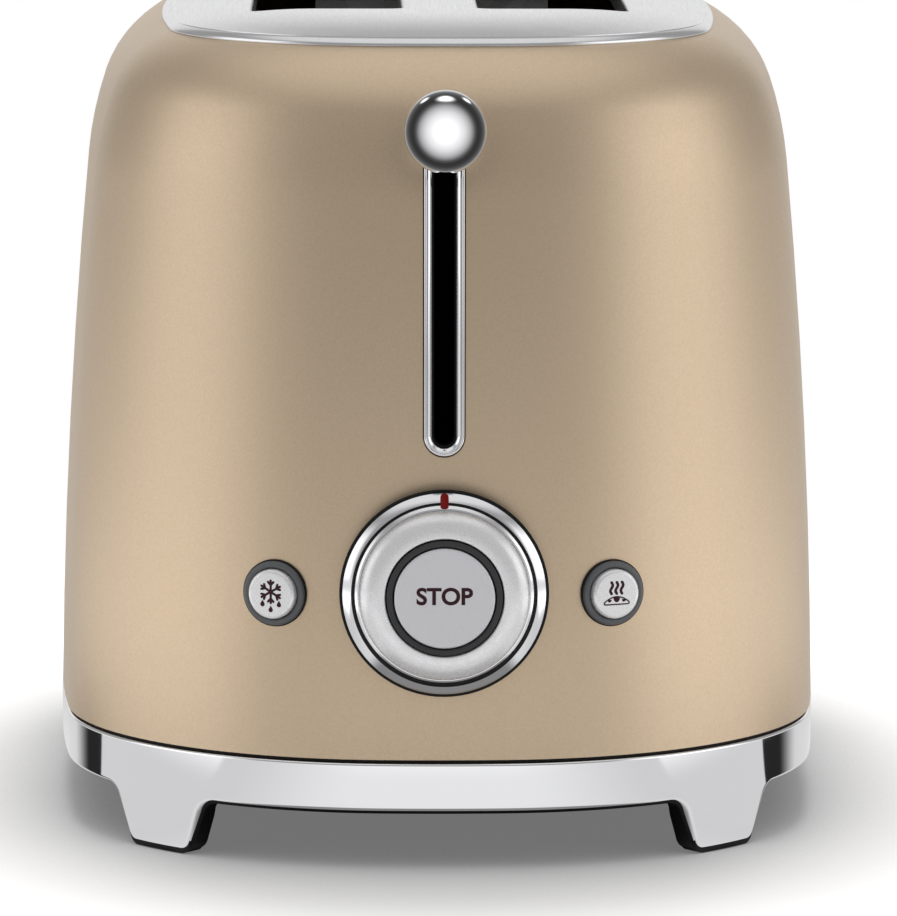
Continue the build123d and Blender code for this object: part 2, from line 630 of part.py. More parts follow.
# Base pan with posts for the end plates, bosses for the guide rods and a pedestal for the latch magnet
with BuildPart() as base_pan:
    with BuildSketch(Plane.XY.offset(PAN_BOTTOM)):
        plan_face(RING_WALL + SLIDE_FIT)
        with Locations(*PAN_SCREW_POINTS):
            Circle(SCREW_DIAMETER / 2 + SCREW_FIT, mode=Mode.SUBTRACT)
        with Locations((GLAND_X, GLAND_Y)):
            Circle(GLAND_NECK / 2 + SEAT_FIT, mode=Mode.SUBTRACT)
        for side in (-1, 1):
            with Locations((side * ((WRAP_LENGTH + VENT_LENGTH) / 2 + WRAP_FLANGE + VENT_WIDTH / 2), 0)):
                with GridLocations(0, VENT_PITCH, 1, VENT_COUNT):
                    SlotOverall(VENT_LENGTH, VENT_WIDTH, mode=Mode.SUBTRACT)
    extrude(amount=PAN_THICKNESS)
    with BuildSketch(Plane.XY.offset(PAN_TOP)):
        with Locations(*TAB_POINTS):
            Rectangle(TAB_WIDTH, TAB_DEPTH)
    extrude(amount=END_PLATE_BOTTOM - PAN_TOP)
    with BuildSketch(Plane.XY.offset(END_PLATE_BOTTOM)):
        with Locations(*TAB_POINTS):
            Circle(SCREW_DIAMETER / 2 + SCREW_FIT)
    extrude(amount=-SCREW_DEPTH, mode=Mode.SUBTRACT)
    with BuildSketch(Plane.XY.offset(PAN_TOP)):
        with Locations(*ROD_POINTS):
            Circle(ROD_BOSS_DIAMETER / 2)
    extrude(amount=ROD_BOSS_HEIGHT)
    with BuildSketch(Plane.XY.offset(PAN_TOP)):
        with Locations(*ROD_POINTS):
            Circle(ROD_DIAMETER / 2 + SEAT_FIT)
    extrude(amount=ROD_BOSS_HEIGHT, mode=Mode.SUBTRACT)
    with BuildSketch(Plane.XY.offset(PAN_TOP)):
        with Locations((0, SLIDER_Y)):
            Rectangle(ARMATURE_LENGTH, ARMATURE_WIDTH)
    extrude(amount=PEDESTAL_HEIGHT)
finish(base_pan.part, "base_pan")

# Screws that hold the pan up to the ring's ledge, heads below
with BuildPart() as pan_screws:
    with BuildSketch(Plane.XY.offset(PAN_BOTTOM - SCREW_HEAD_HEIGHT)):
        with Locations(*PAN_SCREW_POINTS):
            Circle(SCREW_HEAD_DIAMETER / 2)
    extrude(amount=SCREW_HEAD_HEIGHT)
    with BuildSketch(Plane.XY.offset(PAN_BOTTOM)):
        with Locations(*PAN_SCREW_POINTS):
            Circle(SCREW_DIAMETER / 2)
    extrude(amount=PAN_THICKNESS + LEDGE_HEIGHT)
finish(pan_screws.part, "pan_screws")

# Screws that hold the end plates' tabs down on the pan's posts
with BuildPart() as chassis_screws:
    with BuildSketch(Plane.XY.offset(END_PLATE_BOTTOM + SHEET)):
        with Locations(*TAB_POINTS):
            Circle(SCREW_HEAD_DIAMETER / 2)
    extrude(amount=SCREW_HEAD_HEIGHT)
    with BuildSketch(Plane.XY.offset(END_PLATE_BOTTOM + SHEET)):
        with Locations(*TAB_POINTS):
            Circle(SCREW_DIAMETER / 2)
    extrude(amount=-SCREW_DEPTH)
finish(chassis_screws.part, "chassis_screws")

# Spool under the pan that the mains cord winds on
with BuildPart() as cord_wrap:
    with BuildSketch(Plane.XY.offset(PAN_BOTTOM)):
        SlotOverall(WRAP_LENGTH, WRAP_WIDTH)
    extrude(amount=-WRAP_DEPTH)
    with BuildSketch(Plane.XY.offset(PAN_BOTTOM - WRAP_DEPTH)):
        SlotOverall(WRAP_LENGTH + 2 * WRAP_FLANGE, WRAP_WIDTH + 2 * WRAP_FLANGE)
    extrude(amount=WRAP_FLANGE_THICKNESS)
    fillet(cord_wrap.faces().sort_by(Axis.Z)[0].outer_wire().edges(), WRAP_EDGE)
finish(cord_wrap.part, "cord_wrap")

# Bush in the pan where the mains cord comes in
with BuildPart() as cord_gland:
    turned(
        Plane(origin=(GLAND_X, GLAND_Y, PAN_BOTTOM), x_dir=(1, 0, 0), z_dir=(0, -1, 0)),
        (GLAND_BORE / 2, -GLAND_FLANGE_THICKNESS),
        (GLAND_FLANGE / 2, -GLAND_FLANGE_THICKNESS),
        (GLAND_FLANGE / 2, 0),
        (GLAND_NECK / 2, 0),
        (GLAND_NECK / 2, PAN_THICKNESS),
        (GLAND_FLANGE / 2, PAN_THICKNESS),
        (GLAND_FLANGE / 2, PAN_THICKNESS + GLAND_FLANGE_THICKNESS),
        (GLAND_BORE / 2, PAN_THICKNESS + GLAND_FLANGE_THICKNESS),
    )
finish(cord_gland.part, "cord_gland")


def end_plate(end):
    """A chamber end plate at the front (-1) or rear (1), slotted for racks and guards, on two tabs."""
    with BuildPart() as plate:
        with BuildSketch(upright_plane(end * END_PLATE_Y)):
            with Locations((0, END_PLATE_BOTTOM)):
                bottom_centre = (Align.CENTER, Align.MIN)
                Rectangle(END_PLATE_WIDTH, END_PLATE_TOP - END_PLATE_BOTTOM, align=bottom_centre)
                Rectangle(TONGUE_WIDTH, TONGUE_TOP - END_PLATE_BOTTOM, align=bottom_centre)
            for side in (-1, 1):
                with Locations((side * SLOT_X, (RACK_TOP + RACK_BOTTOM - LEVER_TRAVEL) / 2)):
                    rack_height = RACK_HEIGHT + LEVER_TRAVEL + 2 * LOOSE_FIT
                    Rectangle(RACK_WIDTH + 2 * LOOSE_FIT, rack_height, mode=Mode.SUBTRACT)
                for inner in (-1, 1):
                    guard_x = side * SLOT_X + inner * (GUARD_OFFSET - GUARD_TRAVEL / 2)
                    with Locations(*[(guard_x, height) for height in GUARD_TAB_HEIGHTS]):
                        Rectangle(
                            GUARD_THICKNESS + GUARD_TRAVEL + 2 * SLIDE_FIT,
                            GUARD_TAB_HEIGHT + 2 * SLIDE_FIT,
                            mode=Mode.SUBTRACT,
                        )
        extrude(amount=SHEET / 2, both=True)
        with BuildSketch(Plane.XY.offset(END_PLATE_BOTTOM)):
            with Locations(*[(side * TAB_X, end * (TAB_Y - SHEET / 2)) for side in (-1, 1)]):
                Rectangle(TAB_WIDTH, TAB_DEPTH + SHEET)
            with Locations(*TAB_POINTS):
                Circle(SCREW_DIAMETER / 2 + SCREW_FIT, mode=Mode.SUBTRACT)
        extrude(amount=SHEET)
    return plate.part


finish(end_plate(-1), "front_end_plate")
finish(end_plate(1), "rear_end_plate")


def upright_sheet(x, thickness, low, high):
    """A flat sheet between the end plates, from x outward by a thickness that may be negative."""
    with BuildPart() as sheet:
        with BuildSketch(Plane.YZ.offset(x)):
            with Locations((0, low)):
                Rectangle(CHAMBER_LENGTH, high - low, align=(Align.CENTER, Align.MIN))
        extrude(amount=thickness)
    return sheet.part


def ribbon(x, thickness):
    """A heating ribbon that runs to and fro up a mica card, from x outward by a thickness."""
    reach = CHAMBER_LENGTH / 2 - RIBBON_MARGIN
    pitch = (CARD_TOP - CARD_BOTTOM - 2 * RIBBON_MARGIN) / (RIBBON_RUNS - 1)
    points = []
    for run in range(RIBBON_RUNS):
        height = CARD_BOTTOM + RIBBON_MARGIN + run * pitch
        start = reach if run % 2 else -reach
        points += [(start, height), (-start, height)]
    with BuildPart() as strip:
        with BuildSketch(Plane.YZ.offset(x)):
            with BuildLine():
                Polyline(*points)
            trace(line_width=RIBBON_WIDTH)
        extrude(amount=thickness)
    return strip.part


def bread_guard(x):
    """A wire guard beside a bread slot, centred on x, with tabs that run in the end plates' slots."""
    height = GUARD_TOP - GUARD_BOTTOM
    window_width = (GUARD_LENGTH - GUARD_BAR) / GUARD_COLUMNS - GUARD_BAR
    window_height = (height - GUARD_BAR) / GUARD_ROWS - GUARD_BAR
    with BuildPart() as guard:
        with BuildSketch(Plane.YZ.offset(x)):
            with Locations((0, (GUARD_TOP + GUARD_BOTTOM) / 2)):
                Rectangle(GUARD_LENGTH, height)
                with GridLocations(
                    window_width + GUARD_BAR, window_height + GUARD_BAR, GUARD_COLUMNS, GUARD_ROWS
                ):
                    Rectangle(window_width, window_height, mode=Mode.SUBTRACT)
            tab_reach = END_PLATE_Y + SHEET / 2 + GUARD_TAB_HEIGHT / 2
            for tab_height in GUARD_TAB_HEIGHTS:
                for end in (-1, 1):
                    with Locations((end * tab_reach, tab_height)):
                        tab_length = tab_reach - GUARD_LENGTH / 2 + GUARD_BAR / 2
                        tab_align = Align.MAX if end > 0 else Align.MIN
                        Rectangle(tab_length, GUARD_TAB_HEIGHT, align=(tab_align, Align.CENTER))
        extrude(amount=GUARD_THICKNESS / 2, both=True)
    return guard.part


def bread_rack(x):
    """A bread rack: a bar from the carriage through both end plates, with pins that the bread stands on."""
    with BuildPart() as rack:
        with BuildSketch(Plane.YZ.offset(x)):
            rack_end = END_PLATE_Y + RACK_TAIL
            with Locations((SLIDER_REAR, RACK_BOTTOM)):
                Rectangle(rack_end - SLIDER_REAR, RACK_HEIGHT, align=(Align.MIN, Align.MIN))
        extrude(amount=RACK_WIDTH / 2, both=True)
        with BuildSketch(Plane.XY.offset(RACK_TOP)):
            with Locations((x, 0)):
                with GridLocations(0, SLOT_LENGTH / RACK_PIN_COUNT, 1, RACK_PIN_COUNT):
                    Rectangle(RACK_PIN_LENGTH, RACK_PIN_HEIGHT)
        extrude(amount=-RACK_PIN_HEIGHT)
    return rack.part


for side_name, side in (("left", -1), ("right", 1)):
    reflector = upright_sheet(side * REFLECTOR_X, side * SHEET, REFLECTOR_BOTTOM, END_PLATE_TOP)
    finish(reflector, f"{side_name}_reflector")
    outer_card = upright_sheet(side * CARD_OUTER_X, side * CARD_THICKNESS, CARD_BOTTOM, CARD_TOP)
    finish(outer_card, f"{side_name}_outer_heater_card")
    inner_card = upright_sheet(side * CARD_INNER_X, -side * CARD_THICKNESS, CARD_BOTTOM, CARD_TOP)
    finish(inner_card, f"{side_name}_inner_heater_card")
    finish(ribbon(side * CARD_OUTER_X, -side * RIBBON_THICKNESS), f"{side_name}_outer_ribbon")
    finish(ribbon(side * CARD_INNER_X, side * RIBBON_THICKNESS), f"{side_name}_inner_ribbon")
    finish(bread_guard(side * (SLOT_X + GUARD_OFFSET)), f"{side_name}_outer_guard")
    finish(bread_guard(side * (SLOT_X - GUARD_OFFSET)), f"{side_name}_inner_guard")
    finish(bread_rack(side * SLOT_X), f"{side_name}_bread_rack")

# Carriage slider: runs on the two guide rods, its crossbar carries the racks
with BuildPart() as carriage_slider:
    with BuildSketch(upright_plane(SLIDER_Y)):
        with Locations((0, RACK_BOTTOM)):
            Rectangle(SLIDER_WIDTH, SLIDER_TOP - RACK_BOTTOM, align=(Align.CENTER, Align.MIN))
            Rectangle(CROSSBAR_WIDTH, CROSSBAR_HEIGHT, align=(Align.CENTER, Align.MIN))
        with Locations((0, (RACK_BOTTOM + LEVER_REST) / 2)):
            window_height = LEVER_REST - RACK_BOTTOM - 2 * SLIDER_WINDOW_MARGIN
            Rectangle(SLIDER_WINDOW_WIDTH, window_height, mode=Mode.SUBTRACT)
    extrude(amount=SLIDER_DEPTH / 2, both=True)
    with BuildSketch(Plane.XY.offset(RACK_BOTTOM)):
        with Locations(*ROD_POINTS):
            Circle(ROD_DIAMETER / 2 + RUNNING_FIT)
    extrude(amount=SLIDER_TOP - RACK_BOTTOM, mode=Mode.SUBTRACT)
finish(carriage_slider.part, "carriage_slider")

# Lever stem: a round edged bar from the slider out through the slot, with a round neck in the ball
with BuildPart() as lever_stem:
    with BuildSketch(upright_plane(SLIDER_FRONT)):
        with Locations((0, LEVER_REST)):
            upright_slot(STEM_WIDTH, STEM_HEIGHT)
    extrude(amount=SLIDER_FRONT - STEM_END)
    with BuildSketch(upright_plane(STEM_END)):
        with Locations((0, LEVER_REST)):
            Circle(NECK_DIAMETER / 2)
    extrude(amount=BALL_SOCKET_DEPTH + LOOSE_FIT)
finish(lever_stem.part, "lever_stem")

# Lever ball with its socket for the neck
with BuildPart() as lever_ball:
    with Locations((0, BALL_Y, LEVER_REST)):
        Sphere(BALL_RADIUS)
    with BuildSketch(upright_plane(STEM_END)):
        with Locations((0, LEVER_REST)):
            Circle(NECK_DIAMETER / 2 + SEAT_FIT)
    extrude(amount=BALL_SOCKET_DEPTH + LOOSE_FIT, mode=Mode.SUBTRACT)
finish(lever_ball.part, "lever_ball")

# Steel armature under the slider, held down by the latch magnet
with BuildPart() as latch_armature:
    with BuildSketch(Plane.XY.offset(ARMATURE_BOTTOM)):
        with Locations((0, SLIDER_Y)):
            Rectangle(ARMATURE_LENGTH, ARMATURE_WIDTH)
    extrude(amount=ARMATURE_THICKNESS)
finish(latch_armature.part, "latch_armature")

# Latch magnet on the pan's pedestal
with BuildPart() as magnet_core:
    with BuildSketch(Plane.XY.offset(PEDESTAL_TOP)):
        with Locations((0, SLIDER_Y)):
            Rectangle(ARMATURE_LENGTH, ARMATURE_WIDTH)
    extrude(amount=MAGNET_BASE_HEIGHT)
    with BuildSketch(Plane.XY.offset(PEDESTAL_TOP)):
        with Locations((0, SLIDER_Y)):
            Circle(CORE_DIAMETER / 2)
    extrude(amount=MAGNET_TOP - PEDESTAL_TOP)
finish(magnet_core.part, "magnet_core")

with BuildPart() as magnet_coil:
    with BuildSketch(Plane.XY.offset(PEDESTAL_TOP + MAGNET_BASE_HEIGHT)):
        with Locations((0, SLIDER_Y)):
            Circle(COIL_DIAMETER / 2)
            Circle(CORE_DIAMETER / 2 + SEAT_FIT, mode=Mode.SUBTRACT)
    extrude(amount=MAGNET_TOP - COIL_END_GAP - PEDESTAL_TOP - MAGNET_BASE_HEIGHT)
finish(magnet_coil.part, "magnet_coil")

# Guide rods, from the pan's bosses up through the bracket
with BuildPart() as guide_rods:
    with BuildSketch(Plane.XY.offset(PAN_TOP)):
        with Locations(*ROD_POINTS):
            Circle(ROD_DIAMETER / 2)
    extrude(amount=BRACKET_BOTTOM + BRACKET_THICKNESS + ROD_PROUD - PAN_TOP)
finish(guide_rods.part, "guide_rods")

# Bracket on the front end plate that holds the rods' tops and the lift spring
with BuildPart() as rod_bracket:
    with BuildSketch(Plane.XY.offset(BRACKET_BOTTOM)):
        with Locations((0, -END_PLATE_Y - SHEET / 2)):
            Rectangle(TONGUE_WIDTH, BRACKET_REACH, align=(Align.CENTER, Align.MAX))
        with Locations(*ROD_POINTS):
            Circle(ROD_DIAMETER / 2 + SEAT_FIT, mode=Mode.SUBTRACT)
    extrude(amount=BRACKET_THICKNESS)
finish(rod_bracket.part, "rod_bracket")

# Lift spring between the slider's crossbar and the bracket
SPRING_BOTTOM = RACK_BOTTOM + CROSSBAR_HEIGHT + SLIDE_FIT
SPRING_HEIGHT = BRACKET_BOTTOM - SPRING_BOTTOM
with BuildPart() as lift_spring:
    coil_radius = (SPRING_DIAMETER - SPRING_WIRE) / 2
    coil_height = SPRING_HEIGHT - SPRING_WIRE - SEAT_FIT
    with BuildLine() as spring_path:
        Helix(
            pitch=coil_height / SPRING_TURNS,
            height=coil_height,
            radius=coil_radius,
            center=(SPRING_X, SLIDER_Y, SPRING_BOTTOM + SPRING_WIRE / 2),
        )
    with BuildSketch(spring_path.line ^ 0):
        Circle(SPRING_WIRE / 2)
    sweep()
finish(lift_spring.part, "lift_spring")


def trim_ring(layer, outer_width, inner_width):
    """The part of a body layer between two round ended outlines about the lever slot."""
    with BuildPart() as ring:
        with BuildSketch(upright_plane(SLIDER_FRONT)):
            with Locations((0, LEVER_SLOT_MIDDLE)):
                upright_slot(outer_width, LINER_HEIGHT + outer_width - LINER_WIDTH)
                upright_slot(inner_width, LINER_HEIGHT + inner_width - LINER_WIDTH, mode=Mode.SUBTRACT)
        extrude(amount=BODY_LENGTH)
        add(layer, mode=Mode.INTERSECT)
    return ring.part


BEZEL_THROAT_WIDTH = BEZEL_INNER_WIDTH + 2 * BEZEL_THROAT
BEZEL_WIDTH = BEZEL_THROAT_WIDTH + 2 * BEZEL_FLANGE
GROOVE_WIDTH = BEZEL_THROAT_WIDTH + BEZEL_GROOVE_WIDTH

# Plated bezel that follows the face round the lever slot, with a groove round its flange
with BuildPart() as lever_bezel:
    add(trim_ring(skin(BEZEL_PROUD, SEAT_FIT), BEZEL_WIDTH, BEZEL_INNER_WIDTH))
    add(trim_ring(skin(2 * SEAT_FIT, -BEZEL_TAIL), BEZEL_THROAT_WIDTH, BEZEL_INNER_WIDTH))
    groove_layer = skin(2 * BEZEL_PROUD, BEZEL_PROUD - BEZEL_GROOVE_DEPTH)
    groove = trim_ring(groove_layer, GROOVE_WIDTH, BEZEL_THROAT_WIDTH)
    add(groove, mode=Mode.SUBTRACT)
finish(lever_bezel.part, "lever_bezel")

# Black liner behind the bezel that the stem runs in
with BuildPart() as slot_liner:
    liner_outer = LINER_WIDTH + 2 * LINER_WALL
    add(trim_ring(skin(-SHELL_WALL / 2, -LINER_DEPTH), liner_outer, LINER_WIDTH))
    flange_back = BEZEL_TAIL + SEAT_FIT
    flange_layer = skin(-flange_back, -flange_back - LINER_FLANGE_THICKNESS)
    add(trim_ring(flange_layer, liner_outer + 2 * LINER_FLANGE, LINER_WIDTH))
finish(slot_liner.part, "slot_liner")

# Black seat between the shell's face and the dial's skirt
with BuildPart() as dial_seat:
    turned(
        DIAL_PLANE,
        (SEAT_BORE / 2, -SEAT_DEPTH),
        (SEAT_DIAMETER / 2, -SEAT_DEPTH),
        (SEAT_DIAMETER / 2, SKIRT_BACK - SLIDE_FIT),
        (SEAT_BORE / 2, SKIRT_BACK - SLIDE_FIT),
    )
    add(skin(SEAT_FIT, -2 * SEAT_DEPTH), mode=Mode.SUBTRACT)
finish(dial_seat.part, "dial_seat")

# Dial skirt: a plated ring with a groove between two rounded bands
SKIRT_BORE = CAP_DIAMETER + 2 * SEAT_FIT
with BuildPart() as dial_skirt:
    turned(
        DIAL_PLANE,
        (SKIRT_BORE / 2, SKIRT_BACK),
        (SKIRT_DIAMETER / 2, SKIRT_BACK),
        (SKIRT_DIAMETER / 2, SKIRT_FRONT),
        (SKIRT_GROOVE_OUTER / 2, SKIRT_FRONT),
        (SKIRT_GROOVE_OUTER / 2, SKIRT_FRONT - SKIRT_GROOVE_DEPTH),
        (SKIRT_GROOVE_INNER / 2, SKIRT_FRONT - SKIRT_GROOVE_DEPTH),
        (SKIRT_GROOVE_INNER / 2, SKIRT_FRONT),
        (SKIRT_BORE / 2, SKIRT_FRONT),
    )
    fillet(dial_skirt.faces().filter_by(Plane.XZ).sort_by(Axis.Y)[0].edges(), SKIRT_EDGE)
    with BuildSketch(upright_plane(FACE_Y - SKIRT_FRONT + POINTER_DEPTH)):
        with Locations((0, DIAL_HEIGHT + (SKIRT_DIAMETER + SKIRT_BORE) / 4)):
            upright_slot(POINTER_WIDTH + 2 * SEAT_FIT, POINTER_LENGTH + 2 * SEAT_FIT)
    extrude(amount=2 * POINTER_DEPTH, mode=Mode.SUBTRACT)
finish(dial_skirt.part, "dial_skirt")

# Red pointer let into the skirt
with BuildPart() as dial_pointer:
    with BuildSketch(upright_plane(FACE_Y - SKIRT_FRONT + POINTER_DEPTH)):
        with Locations((0, DIAL_HEIGHT + (SKIRT_DIAMETER + SKIRT_BORE) / 4)):
            upright_slot(POINTER_WIDTH, POINTER_LENGTH)
    extrude(amount=POINTER_DEPTH + POINTER_PROUD)
finish(dial_pointer.part, "dial_pointer")

# Dial cap with a hub that turns on the sleeve and reaches back into the potentiometer
with BuildPart() as dial_cap:
    with BuildSketch(DIAL_PLANE):
        with BuildLine():
            Polyline(
                (DIAL_BORE / 2, CAP_FRONT),
                (DIAL_BORE / 2, -HUB_BACK),
                (HUB_DIAMETER / 2, -HUB_BACK),
                (HUB_DIAMETER / 2, SKIRT_BACK),
                (CAP_DIAMETER / 2, SKIRT_BACK),
                (CAP_DIAMETER / 2, CAP_EDGE),
            )
            EllipticalCenterArc(
                (CAP_CROWN_DIAMETER / 2, CAP_EDGE),
                (CAP_DIAMETER - CAP_CROWN_DIAMETER) / 2,
                CAP_FRONT - CAP_EDGE,
                start_angle=0,
                arc_size=90,
            )
            Line((CAP_CROWN_DIAMETER / 2, CAP_FRONT), (DIAL_BORE / 2, CAP_FRONT))
        make_face()
    revolve(axis=DIAL_AXIS)
finish(dial_cap.part, "dial_cap")

# Fixed sleeve in the middle of the dial, standing on the control board
with BuildPart() as stop_sleeve:
    turned(
        DIAL_PLANE,
        (SLEEVE_BORE / 2, -BOARD_DEPTH),
        (SLEEVE_DIAMETER / 2, -BOARD_DEPTH),
        (SLEEVE_DIAMETER / 2, SLEEVE_FRONT),
        (SLEEVE_BORE / 2, SLEEVE_FRONT),
    )
finish(stop_sleeve.part, "stop_sleeve")

# Stop button and its plunger
STOP_DIAMETER = SLEEVE_BORE - 2 * SLIDE_FIT
with BuildPart() as stop_button:
    plunger_end = -BOARD_DEPTH + SWITCH_HEIGHT + STOP_TRAVEL + SWITCH_SLACK
    turned(
        DIAL_PLANE,
        (0, plunger_end),
        (PLUNGER_DIAMETER / 2, plunger_end),
        (PLUNGER_DIAMETER / 2, STOP_FACE - STOP_LENGTH),
        (STOP_DIAMETER / 2, STOP_FACE - STOP_LENGTH),
        (STOP_DIAMETER / 2, STOP_FACE),
        (0, STOP_FACE),
    )
    fillet(stop_button.faces().sort_by(Axis.Y)[0].edges(), STOP_EDGE)
finish(stop_button.part, "stop_button")

# Control board, its stop switch and the hollow potentiometer that the hub turns in
with BuildPart() as control_board:
    with BuildSketch(upright_plane(BOARD_FRONT)):
        with Locations((0, BOARD_BOTTOM)):
            Rectangle(BOARD_WIDTH, BOARD_TOP - BOARD_BOTTOM, align=(Align.CENTER, Align.MIN))
    extrude(amount=-BOARD_THICKNESS)
finish(control_board.part, "control_board")

with BuildPart() as stop_switch:
    with BuildSketch(upright_plane(BOARD_FRONT)):
        with Locations((0, DIAL_HEIGHT)):
            Rectangle(SWITCH_SIZE, SWITCH_SIZE)
    extrude(amount=SWITCH_HEIGHT)
finish(stop_switch.part, "stop_switch")

with BuildPart() as browning_potentiometer:
    turned(
        DIAL_PLANE,
        (HUB_DIAMETER / 2 + SLIDE_FIT, -BOARD_DEPTH),
        (POT_DIAMETER / 2, -BOARD_DEPTH),
        (POT_DIAMETER / 2, POT_HEIGHT - BOARD_DEPTH),
        (HUB_DIAMETER / 2 + SLIDE_FIT, POT_HEIGHT - BOARD_DEPTH),
    )
finish(browning_potentiometer.part, "browning_potentiometer")

# Carrier that holds the board up behind the face
BOARD_BACK = BOARD_FRONT + BOARD_THICKNESS
with BuildPart() as control_carrier:
    with BuildSketch(Plane.XY.offset(PAN_TOP)):
        with Locations((0, BOARD_BACK)):
            with GridLocations(BOARD_WIDTH - CARRIER_POST, 0, 2, 1):
                Rectangle(CARRIER_POST, CARRIER_POST, align=(Align.CENTER, Align.MIN))
    extrude(amount=BOARD_TOP - PAN_TOP)
    with BuildSketch(upright_plane(BOARD_BACK)):
        with Locations((0, PAN_TOP + CARRIER_BEAM_LIFT)):
            Rectangle(BOARD_WIDTH - CARRIER_POST, CARRIER_BEAM_HEIGHT)
    extrude(amount=-CARRIER_POST / 2)
finish(control_carrier.part, "control_carrier")

# Push buttons: a bezel with a barrel, a cap that slides in it and a switch on the barrel's end
BUTTON_BORE = BUTTON_CAP_DIAMETER + 2 * SLIDE_FIT
for button_name, button_side in (("defrost", -1), ("reheat", 1)):
    button_plane = axis_plane(button_origin(button_side), button_forward(button_side))
    with BuildPart() as button_bezel:
        turned(
            button_plane,
            (BUTTON_BORE / 2, -BUTTON_BARREL),
            (BUTTON_BEZEL_DIAMETER / 2, -BUTTON_BARREL),
            (BUTTON_BEZEL_DIAMETER / 2, -BUTTON_FLANGE_BACK - BUTTON_FLANGE_THICKNESS),
            (BUTTON_FLANGE_DIAMETER / 2, -BUTTON_FLANGE_BACK - BUTTON_FLANGE_THICKNESS),
            (BUTTON_FLANGE_DIAMETER / 2, -BUTTON_FLANGE_BACK),
            (BUTTON_BEZEL_DIAMETER / 2, -BUTTON_FLANGE_BACK),
            (BUTTON_BEZEL_DIAMETER / 2, BUTTON_BEZEL_PROUD),
            (BUTTON_BORE / 2, BUTTON_BEZEL_PROUD),
        )
    finish(button_bezel.part, f"{button_name}_bezel")
    with BuildPart() as button_cap:
        cap_back = BUTTON_CAP_PROUD - BUTTON_CAP_LENGTH
        plunger_back = -BUTTON_BARREL + BUTTON_TRAVEL + SWITCH_SLACK
        turned(
            button_plane,
            (0, plunger_back),
            (BUTTON_PLUNGER_DIAMETER / 2, plunger_back),
            (BUTTON_PLUNGER_DIAMETER / 2, cap_back),
            (BUTTON_CAP_DIAMETER / 2, cap_back),
            (BUTTON_CAP_DIAMETER / 2, BUTTON_CAP_PROUD),
            (0, BUTTON_CAP_PROUD),
        )
    finish(button_cap.part, f"{button_name}_button")
    with BuildPart() as button_switch:
        turned(
            button_plane,
            (0, -BUTTON_BARREL - SWITCH_HEIGHT),
            (BUTTON_BEZEL_DIAMETER / 2, -BUTTON_BARREL - SWITCH_HEIGHT),
            (BUTTON_BEZEL_DIAMETER / 2, -BUTTON_BARREL),
            (0, -BUTTON_BARREL),
        )
    finish(button_switch.part, f"{button_name}_switch")

# Crumb tray: a shallow sheet pan whose rear edge follows the ring
with BuildPart() as crumb_tray:
    with BuildSketch(Plane.XY.offset(TRAY_BOTTOM)) as tray_outline:
        with Locations((0, TRAY_FRONT)):
            Rectangle(TRAY_WIDTH, BODY_LENGTH, align=(Align.CENTER, Align.MIN))
        plan_face(RING_WALL + SEAT_FIT, mode=Mode.INTERSECT)
    extrude(amount=TRAY_HEIGHT)
    with BuildSketch(Plane.XY.offset(TRAY_BOTTOM + TRAY_SHEET)):
        offset(tray_outline.sketch, amount=-TRAY_SHEET, kind=Kind.INTERSECTION)
    extrude(amount=TRAY_HEIGHT, mode=Mode.SUBTRACT)
finish(crumb_tray.part, "crumb_tray")

# Tray pull: closes the ring's rear opening flush and carries a lip for the fingers
with BuildPart() as tray_pull:
    with BuildSketch(Plane.XY.offset(TRAY_BOTTOM)):
        plan_band(0, RING_WALL)
        with Locations((0, END_PLATE_Y)):
            Rectangle(TRAY_WIDTH, BODY_LENGTH, align=(Align.CENTER, Align.MIN), mode=Mode.INTERSECT)
    extrude(amount=TRAY_HEIGHT)
    with BuildSketch(Plane.XY.offset(TRAY_BOTTOM + (TRAY_HEIGHT - PULL_THICKNESS) / 2)):
        with Locations((0, BODY_LENGTH / 2 + PULL_DEPTH)):
            RectangleRounded(PULL_WIDTH, 2 * PULL_DEPTH, PULL_CORNER, align=(Align.CENTER, Align.MAX))
        plan_face(RING_WALL / 2, mode=Mode.SUBTRACT)
    extrude(amount=PULL_THICKNESS)
finish(tray_pull.part, "tray_pull")
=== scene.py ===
"""Looks of a two slot pop up toaster: finishes, trim, printed marks and a plain white studio.

Size fields are in millimetres and angles in degrees. Meshes are in metres, in the frame of the CAD model:
the origin is on the floor under the middle of the body, and the front faces -Y.
"""

import logging
from collections.abc import Iterable, Iterator, Mapping, Sequence
from dataclasses import dataclass, replace
from enum import Enum, IntEnum
from functools import cache, reduce
from math import asin, atan2, ceil, cos, degrees, hypot, pi, radians, sin, sqrt, tan
from typing import NamedTuple

import bmesh
import bpy
import numpy as np
from mathutils import Matrix, Vector
from mathutils.geometry import delaunay_2d_cdt


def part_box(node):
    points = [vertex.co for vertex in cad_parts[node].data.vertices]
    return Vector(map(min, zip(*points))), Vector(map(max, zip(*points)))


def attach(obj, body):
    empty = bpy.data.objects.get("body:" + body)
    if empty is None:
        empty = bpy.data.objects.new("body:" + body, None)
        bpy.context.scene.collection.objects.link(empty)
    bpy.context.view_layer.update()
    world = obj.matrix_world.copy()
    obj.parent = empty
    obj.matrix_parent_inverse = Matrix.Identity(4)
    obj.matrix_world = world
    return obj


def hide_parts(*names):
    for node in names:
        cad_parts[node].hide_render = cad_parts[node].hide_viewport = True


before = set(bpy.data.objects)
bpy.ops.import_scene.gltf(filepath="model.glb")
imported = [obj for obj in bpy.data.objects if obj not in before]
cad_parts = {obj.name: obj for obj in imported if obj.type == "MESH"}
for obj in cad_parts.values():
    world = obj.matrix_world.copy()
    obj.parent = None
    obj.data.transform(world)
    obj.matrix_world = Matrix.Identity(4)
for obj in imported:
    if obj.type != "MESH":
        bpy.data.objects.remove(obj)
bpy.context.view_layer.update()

Tree = bpy.types.NodeTree
Node = bpy.types.Node
